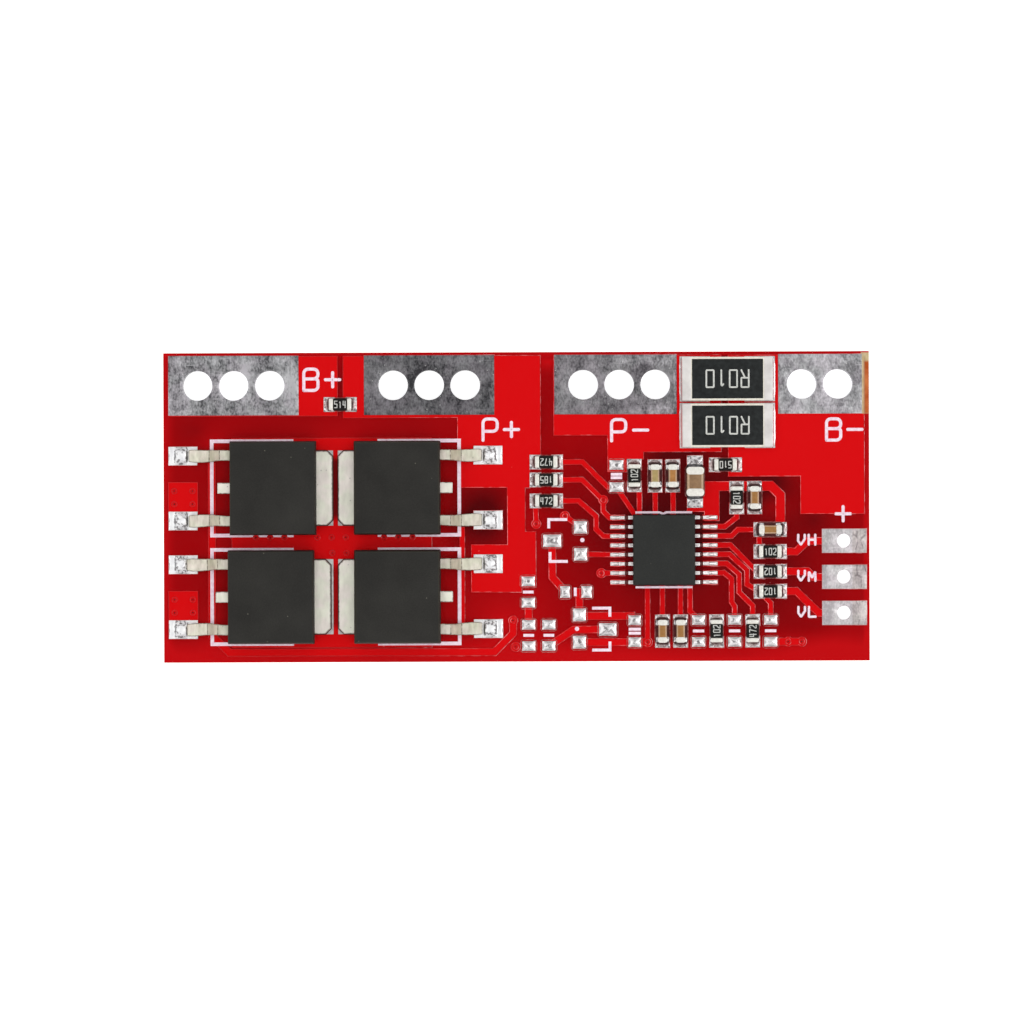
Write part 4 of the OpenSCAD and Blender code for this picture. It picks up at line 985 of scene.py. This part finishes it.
# solder: its height follows one curve along each land and another across it
solder = {
    "pillow": {"length": ((0, 0), (0.1, 0.42), (0.28, 0.82), (0.5, 1), (0.72, 0.82), (0.9, 0.42), (1, 0)),
               "cross": ((0, 0), (0.1, 0.42), (0.28, 0.82), (0.5, 1), (0.72, 0.82), (0.9, 0.42), (1, 0)),
               "grid": (17, 15), "pinch": 0.09, "rough": 0.35, "rise": 0.17},
    "heel": {"length": ((0, 1), (0.14, 0.78), (0.34, 0.42), (0.56, 0.18), (0.8, 0.08), (0.92, 0.05), (1, 0)),
             "cross": ((0, 0), (0.07, 0.4), (0.2, 0.72), (0.5, 1), (0.8, 0.72), (0.93, 0.4), (1, 0)),
             "grid": (15, 15), "pinch": -0.04, "rough": 0.5, "taper": 0.42},
    "mound": {"length": ((0, 0), (0.08, 0.2), (0.24, 0.24), (0.27, 0.1), (0.31, 0.1), (0.36, 0.66),
                         (0.45, 0.92), (0.55, 1), (0.66, 0.92), (0.75, 0.68), (0.83, 0.2), (0.9, 0.15),
                         (0.96, 0.12), (1, 0)),
              "cross": ((0, 0), (0.06, 0.2), (0.16, 0.48), (0.3, 0.82), (0.5, 1), (0.7, 0.82), (0.84, 0.48),
                        (0.94, 0.2), (1, 0)),
              "grid": (49, 25), "pinch": 0.03, "rough": 0.5},
    "toe": {"length": ((0, 0), (0.1, 0.8), (0.3, 1), (0.6, 0.62), (0.85, 0.3), (1, 0)),
            "cross": ((0, 0), (0.14, 0.5), (0.32, 0.9), (0.5, 1), (0.68, 0.9), (0.86, 0.5), (1, 0)),
            "grid": (17, 9), "pinch": -0.3, "rough": 0.8},
}
solderLump = 0.42  # the size of the lumps in its surface, in millimetres


def solderTree(name, spec):
    tree = Tree(name, ("Roughening", "Waist", "Pinch", "Taper"), "Metal")
    columns, rows = spec["grid"]
    flat = tree.step("MeshGrid", Size_X=1.0, Size_Y=1.0, Vertices_X=columns, Vertices_Y=rows)
    spot = tree.place()
    drawn = []
    for axis, label in enumerate(("length", "cross")):
        flat = tree.stored(flat, label, tree.profile(spec[label], tree.plus(spot[axis], 0.5)))
        other = tree.times(spot[1 - axis], 2.0)
        waist = tree.minus(1.0, tree.times(other, other))
        inward = tree.times(waist, tree["Pinch" if axis else "Waist"])
        if label == "cross":
            out = tree.sums("POWER", tree.plus(spot[0], 0.5), 2.0)
            inward = tree.plus(inward, tree.times(out, tree["Taper"]))
        drawn.append(tree.times(spot[axis], tree.minus(1.0, inward)))
    outline = tree.step("SetPosition", Geometry=flat, Position=tree.joined(*drawn))
    span = tree.joined(tree.named("spanX"), tree.named("spanY"), 1.0)
    spread = tree.step("InstanceOnPoints", Points=tree["Geometry"], Instance=outline, Scale=span,
                       Rotation=tree.joined(z=tree.named("facing")))
    real = tree.step("RealizeInstances", Geometry=spread)
    cloud = tree.add("ShaderNodeTexNoise")
    cloud.inputs["Scale"].default_value = 1 / (solderLump * mm)
    cloud.inputs["Detail"].default_value = 2.0
    uneven = tree.times(tree.minus(cloud.outputs[0], 0.5), tree["Roughening"])
    height = tree.times(tree.times(tree.named("length"), tree.named("cross")), tree.named("rise"))
    height = tree.times(height, tree.plus(uneven, 1.0))
    raised = tree.step("SetPosition", Geometry=real, Offset=tree.joined(z=height))
    return tree.finish(raised, tree["Metal"])


def solderPiece(name, kind, spots, metal, *nodes):  # spots: centre, length, width, rise, facing
    spec = solder[kind]
    centres, lengths, widths, rises, facings = zip(*spots)
    piece = pointMesh(name, centres, spanX=lengths, spanY=widths, rise=rises, facing=facings)
    solderTree(kind + "Solder", spec).run(
        piece, Roughening=spec["rough"], Waist=max(spec["pinch"], 0.0), Pinch=spec["pinch"],
        Taper=spec.get("taper", 0.0), Metal=look[metal])
    return settle(piece, "solder", *nodes)


def pillowSpots(boxes, rise):
    return [(Vector(((a.x + b.x) / 2, (a.y + b.y) / 2, b.z)), b.x - a.x, b.y - a.y, rise * mm, 0.0)
            for a, b in boxes]


# how high solder beside a part rises (0: as its solid), how far it goes under and ahead, how much wider it is
fillets = {"chip": (0, 0.04, 0.0, 0.06), "shunt": (0, 0.04, 0.03, 0.1), "lead": (0.3, 0.0, 0.03, 0.05),
           "leg": (0.2, -0.13, -0.01, -0.11)}
# the thin wetting on a chip's lands, the height over which a heel is the large chip's, and a chip land's size
wetting = {"rise": 0.05, "largeOver": 0.7, "length": (0.6, 1.3), "width": 0.6}


def outwardSpots(boxes, kind, *owners):  # each box lies beside its part and faces away from it
    rise, under, ahead, wider = fillets[kind]
    ownerMiddles = [sum(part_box(owner), Vector()) / 2 for owner in owners]
    spots = []
    for a, b in boxes:
        middle = (a + b) / 2
        nearest = min(ownerMiddles, key=lambda o: (o - middle).xy.length)
        away = (middle - nearest).xy
        alongX = abs(away.x) > abs(away.y)
        sign = math.copysign(1, away.x if alongX else away.y)
        size = (b - a).xy if alongX else Vector((b.y - a.y, b.x - a.x))
        shift = sign * (ahead - under) * mm / 2
        centre = Vector((middle.x + (shift if alongX else 0), middle.y + (0 if alongX else shift), a.z))
        facing = math.atan2(0 if alongX else sign, sign if alongX else 0)
        spots.append((centre, size.x + (ahead + under) * mm, size.y + wider * mm,
                      rise * mm if rise else b.z - a.z, facing))
    return spots


chips = [f"resistor_{i}" for i in range(1, 13)] + [f"capacitor_{i}" for i in range(1, 7)]
chips.append("large_capacitor")


def makeSolder():
    lands = [(a, b, (b.x - a.x) / mm, (b.y - a.y) / mm) for a, b in islands("part_lands")]
    shortest, longest = wetting["length"]
    chipLands = [(a, b) for a, b, length, width in lands
                 if shortest < length < longest and width > wetting["width"]]
    legLands = [(a, b) for a, b, length, width in lands if width < legLand["under"]]
    bodies = [f"transistor_body_{i}" for i in range(1, 5)]
    spare = pillowSpots(islands("spare_lands"), solder["pillow"]["rise"])
    heels = outwardSpots(islands("chip_solder"), "chip", *chips)
    small = [spot for spot in heels if spot[3] <= wetting["largeOver"] * mm]
    large = [spot for spot in heels if spot[3] > wetting["largeOver"] * mm]
    shunts = outwardSpots(islands("shunt_solder"), "shunt", "shunt_1", "shunt_2")
    mounds = outwardSpots(islands("lead_solder"), "lead", *bodies)
    solderPiece("bareLandSolder", "pillow", spare, "solder", "spare_solder")
    solderPiece("chipWetting", "pillow", pillowSpots(chipLands, wetting["rise"]), "solder")
    solderPiece("chipHeels", "heel", small, "chipSolder", "chip_solder")
    solderPiece("largeHeels", "heel", large, "moundSolder")
    solderPiece("shuntHeels", "heel", shunts, "solder", "shunt_solder")
    solderPiece("leadMounds", "mound", mounds, "moundSolder", "lead_solder")
    solderPiece("controllerToes", "toe", outwardSpots(legLands, "leg", "controller_body"), "toeSolder",
                "controller_solder")


makeSolder()
print("solder")

# mask that follows the copper: a bead on every edge of the foil, a tent over every via
maskBead = {"radius": 0.042, "flatness": 0.5, "sides": 6, "sharp": 60, "within": 0.01, "seamRadius": 0.08}
tent = {"radius": 0.16, "rise": 0.003, "pit": 0.07, "spokes": 16, "rings": 9, "pitReach": 0.34,
        "profile": ((0, 0.0), (0.2, 0.1), (0.36, 0.94), (0.6, 1.0), (0.85, 1.0), (1, 0.93))}


def beadTree():
    tree = Tree("maskBead", ("Radius", "Flatness", "Level"), "Coating")
    corner = tree.step("InputMeshEdgeAngle")
    sharp = tree.sums("GREATER_THAN", corner.outputs["Unsigned Angle"], math.radians(maskBead["sharp"]))
    above = tree.minus(tree.place()[2], tree["Level"])
    upper = tree.sums("LESS_THAN", tree.sums("ABSOLUTE", above), maskBead["within"] * mm)
    path = tree.step("MeshToCurve", Mesh=tree["Geometry"], Selection=tree.times(sharp, upper))
    ring = tree.circle(maskBead["sides"], tree["Radius"])
    bead = tree.step("CurveToMesh", Curve=path, Profile_Curve=ring)
    lower = tree.minus(tree.times(above, tree["Flatness"]), above)
    flat = tree.step("SetPosition", Geometry=bead, Offset=tree.joined(z=lower))
    return tree.finish(flat, tree["Coating"])


def makeBead(name, source, level, radius, coating, slot):
    piece = asObject(name, meshOf(name, merged(source, False)))
    beadTree().run(piece, Radius=radius * mm, Flatness=maskBead["flatness"], Level=level,
                   Coating=look[coating])
    settle(piece, slot)


def tentTree(name):
    tree = Tree(name, ("Radius", "Rise", "Pit"), "Coating", "Core")
    fan = tree.step("MeshCone", {"fill_type": "NONE"}, Vertices=tent["spokes"], Side_Segments=tent["rings"],
                    Radius_Top=0.02, Radius_Bottom=1.0, Depth=1.0)
    spot = tree.place()
    reach = tree.sums("SQRT", tree.plus(tree.times(spot[0], spot[0]), tree.times(spot[1], spot[1])))
    height = tree.times(tree.profile(tent["profile"], reach), tree.plus(tree["Rise"], tree["Pit"]))
    across, up = (tree.times(spot[axis], tree["Radius"]) for axis in (0, 1))
    shaped = tree.step("SetPosition", Geometry=tree.stored(fan, "reach", reach),
                       Position=tree.joined(across, up, tree.minus(height, tree["Pit"])))
    spread = tree.step("InstanceOnPoints", Points=tree["Geometry"], Instance=shaped)
    # painted shade: the middle of each tent takes the dark pit material, the shade in the via's hole
    core = tree.sums("LESS_THAN", tree.named("reach"), tent["pitReach"])
    return tree.finish(spread, tree["Coating"], Selection=core, Material=tree["Core"])


def middles(boxes):
    return [((a.x + b.x) / 2, (a.y + b.y) / 2, 0.0) for a, b in boxes]


def makeTents():
    for name, level, side in (("upperTents", copperTop, 1), ("lowerTents", boardLow.z, -1)):
        piece = pointMesh(name, middles(islands("via_barrels")))
        rise = tent["rise"] if side > 0 else 0.0
        tentTree(name).run(piece, Radius=tent["radius"] * mm, Rise=rise * mm, Pit=tent["pit"] * mm,
                           Coating=look["tentMask"], Core=look["pit"])
        turn = Matrix.Identity(4) if side > 0 else Matrix.Scale(-1, 4, (0, 0, 1))
        piece.data.transform(Matrix.Translation((0, 0, level)) @ turn)
        if side < 0:
            piece.data.flip_normals()
        settle(piece, "masked_copper")


# around the chips: a dark film as painted contact shadow, and a thin mottled ridge; how far the film and the
# ridge reach past a chip, and the ridge's radius
flux = {"corner": 0.2, "cornerSteps": 6, "sides": 6, "level": 0.005,
        "capacitor": {"film": 0.1, "ridge": 0.115, "radius": 0.022},
        "resistor": {"film": 0.045, "ridge": 0.07, "radius": 0.012},
        "large": {"film": 0.03, "ridge": 0.055, "radius": 0.012},
        "spare": {"ridge": 0.1, "radius": 0.014}}


def surroundTree():  # a dark film under each chip, a painted contact shadow, or a thin ridge around it, following its outline
    tree = Tree("flux", ("Over", "Ridge", "Corner"), "Coating")
    outline = tree.step("CurvePrimitiveQuadrilateral", Width=1.0, Height=1.0)
    twice = tree.times(tree["Over"], 2.0)
    spans = [tree.plus(tree.named(label), twice) for label in ("spanX", "spanY")]
    spread = tree.step("InstanceOnPoints", Points=tree["Geometry"], Instance=outline,
                       Scale=tree.joined(*spans, 1.0))
    real = tree.step("RealizeInstances", Geometry=spread)
    soft = tree.rounded(real, flux["cornerSteps"])
    ring = tree.circle(flux["sides"], tree["Ridge"])
    ridge = tree.step("CurveToMesh", Curve=soft, Profile_Curve=ring)
    film = tree.step("FillCurve", {"mode": "NGONS"}, Curve=soft)
    thick = tree.sums("GREATER_THAN", tree["Ridge"], 0.0)
    choice = tree.step("Switch", {"input_type": "GEOMETRY"}, Switch=thick, **{"False": film, "True": ridge})
    return tree.finish(choice, tree["Coating"])


def makeSurrounds():
    height = landTop + flux["level"] * mm
    for kind in ("capacitor", "resistor", "large", "spare"):
        boxes = [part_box(node) for node in chips if node.startswith(kind)] or islands("spare_lands")
        for part, coating in (("film", "flux"), ("ridge", "fluxRim")):
            if part not in flux[kind]:
                continue
            piece = pointMesh(f"{kind}Surround_{part}", middles(boxes), spanX=[b.x - a.x for a, b in boxes],
                              spanY=[b.y - a.y for a, b in boxes])
            radius = flux[kind]["radius"] if part == "ridge" else 0.0
            surroundTree().run(piece, Over=flux[kind][part] * mm, Ridge=radius * mm, Corner=flux["corner"] * mm,
                           Coating=look[coating])
            piece.data.transform(Matrix.Translation((0, 0, height)))
            settle(piece, "solder")


makeBead("copperEdgeCoat", "top_copper", copperTop, maskBead["radius"], "thinMask", "masked_copper")
# a dark ridge along each tab's edge on its land: painted shade
for i in range(1, 5):
    makeBead(f"tabSeam{i}", f"transistor_tab_{i}", landTop, maskBead["seamRadius"], "seam", "solder")
makeTents()
makeSurrounds()
print("mask bead, tents and flux")

# floor, light and camera
ground = {"reach": 3.0, "below": 0.02, "dark": 0.86, "light": 0.88, "glow": 0.75}
studio = {"strength": 1.28, "sides": 0.5, "ends": 0.58,
          "levels": ((0.0, 0.1), (1.0, 0.02), (0.35, 0.2), (0.68, 1.0), (0.93, 1.0), (0.965, 0.7),
                     (0.988, 0.06))}
lamps = {"overhead": {"place": (0.0, -0.05, 0.6), "size": (0.3, 0.3), "power": 1.0, "glossy": False},
         "rightStrip": {"place": (0.42, 0.0, 0.26), "size": (0.12, 0.6), "power": 0.7, "diffuse": False}}
shot = {"distance": 448.7, "lens": 224.0, "sensor": 36.0, "shiftX": -0.317, "shiftY": -0.359, "roll": -0.19,
        "clipStart": 0.01, "clipEnd": 10.0}


def makeFloor():
    mesh = bpy.data.meshes.new("floor")
    reach = ground["reach"]
    corners = [(-reach, -reach, 0), (reach, -reach, 0), (reach, reach, 0), (-reach, reach, 0)]
    mesh.from_pydata(corners, [], [(0, 1, 2, 3)])
    mesh.transform(Matrix.Translation((0, 0, boardLow.z - ground["below"] * mm)))
    finish = Finish("paleFloor", 0.8, specular=0.1)
    dark, light = ((level, level, level, 1) for level in (ground["dark"], ground["light"]))
    finish.colour(finish.ramp(finish.noise(60.0, 2.0), (0.3, dark), (0.7, light)))
    finish.surface.inputs["Emission Color"].default_value = (1, 1, 1, 1)
    finish.surface.inputs["Emission Strength"].default_value = ground["glow"]
    mesh.materials.append(finish.material)
    return asObject("floor", mesh)


def makeSky():  # a light sky with a level for each height, stronger from the sides than from the ends
    world = bpy.data.worlds.new("studio")
    world.use_nodes = True
    sky = Graph(world.node_tree)
    way = sky.split(sky.add("ShaderNodeTexCoord").outputs["Generated"])
    glow = sky.ramp(way[2], *((height, (level, level, level, 1)) for height, level in studio["levels"]))
    squareX, squareY = (sky.times(way[axis], way[axis]) for axis in (0, 1))
    sideways = sky.sums("DIVIDE", squareX, sky.plus(sky.plus(squareX, squareY), 0.0001))
    panels = sky.plus(sky.times(sideways, studio["sides"]), studio["ends"])
    backdrop = sky.tree.nodes["Background"]
    sky.feed(backdrop.inputs["Color"], glow)
    sky.feed(backdrop.inputs["Strength"], sky.times(panels, studio["strength"]))
    bpy.context.scene.world = world


def softbox(name, place, size, power, diffuse=True, glossy=True):
    lamp = bpy.data.lights.new(name, "AREA")
    lamp.shape = "RECTANGLE"
    lamp.size, lamp.size_y = size
    lamp.energy = power
    holder = bpy.data.objects.new(name, lamp)
    holder.location = place
    holder.rotation_euler = (-Vector(place)).to_track_quat("-Z", "Y").to_euler()
    holder.visible_diffuse = diffuse
    holder.visible_glossy = glossy
    bpy.context.scene.collection.objects.link(holder)


def makeCamera():
    lens = bpy.data.cameras.new("camera")
    lens.lens = shot["lens"]
    lens.sensor_width = shot["sensor"]
    lens.clip_start, lens.clip_end = shot["clipStart"], shot["clipEnd"]
    camera = bpy.data.objects.new("camera", lens)
    camera.location = (shot["shiftX"] * mm, shot["shiftY"] * mm, copperTop + shot["distance"] * mm)
    camera.rotation_euler = (0, 0, math.radians(shot["roll"]))
    bpy.context.scene.collection.objects.link(camera)
    bpy.context.scene.camera = camera


floor = makeFloor()
makeSky()
for name, lamp in lamps.items():
    softbox(name, **lamp)
makeCamera()
bpy.context.scene.view_settings.view_transform = "Standard"
print("floor, light and camera")
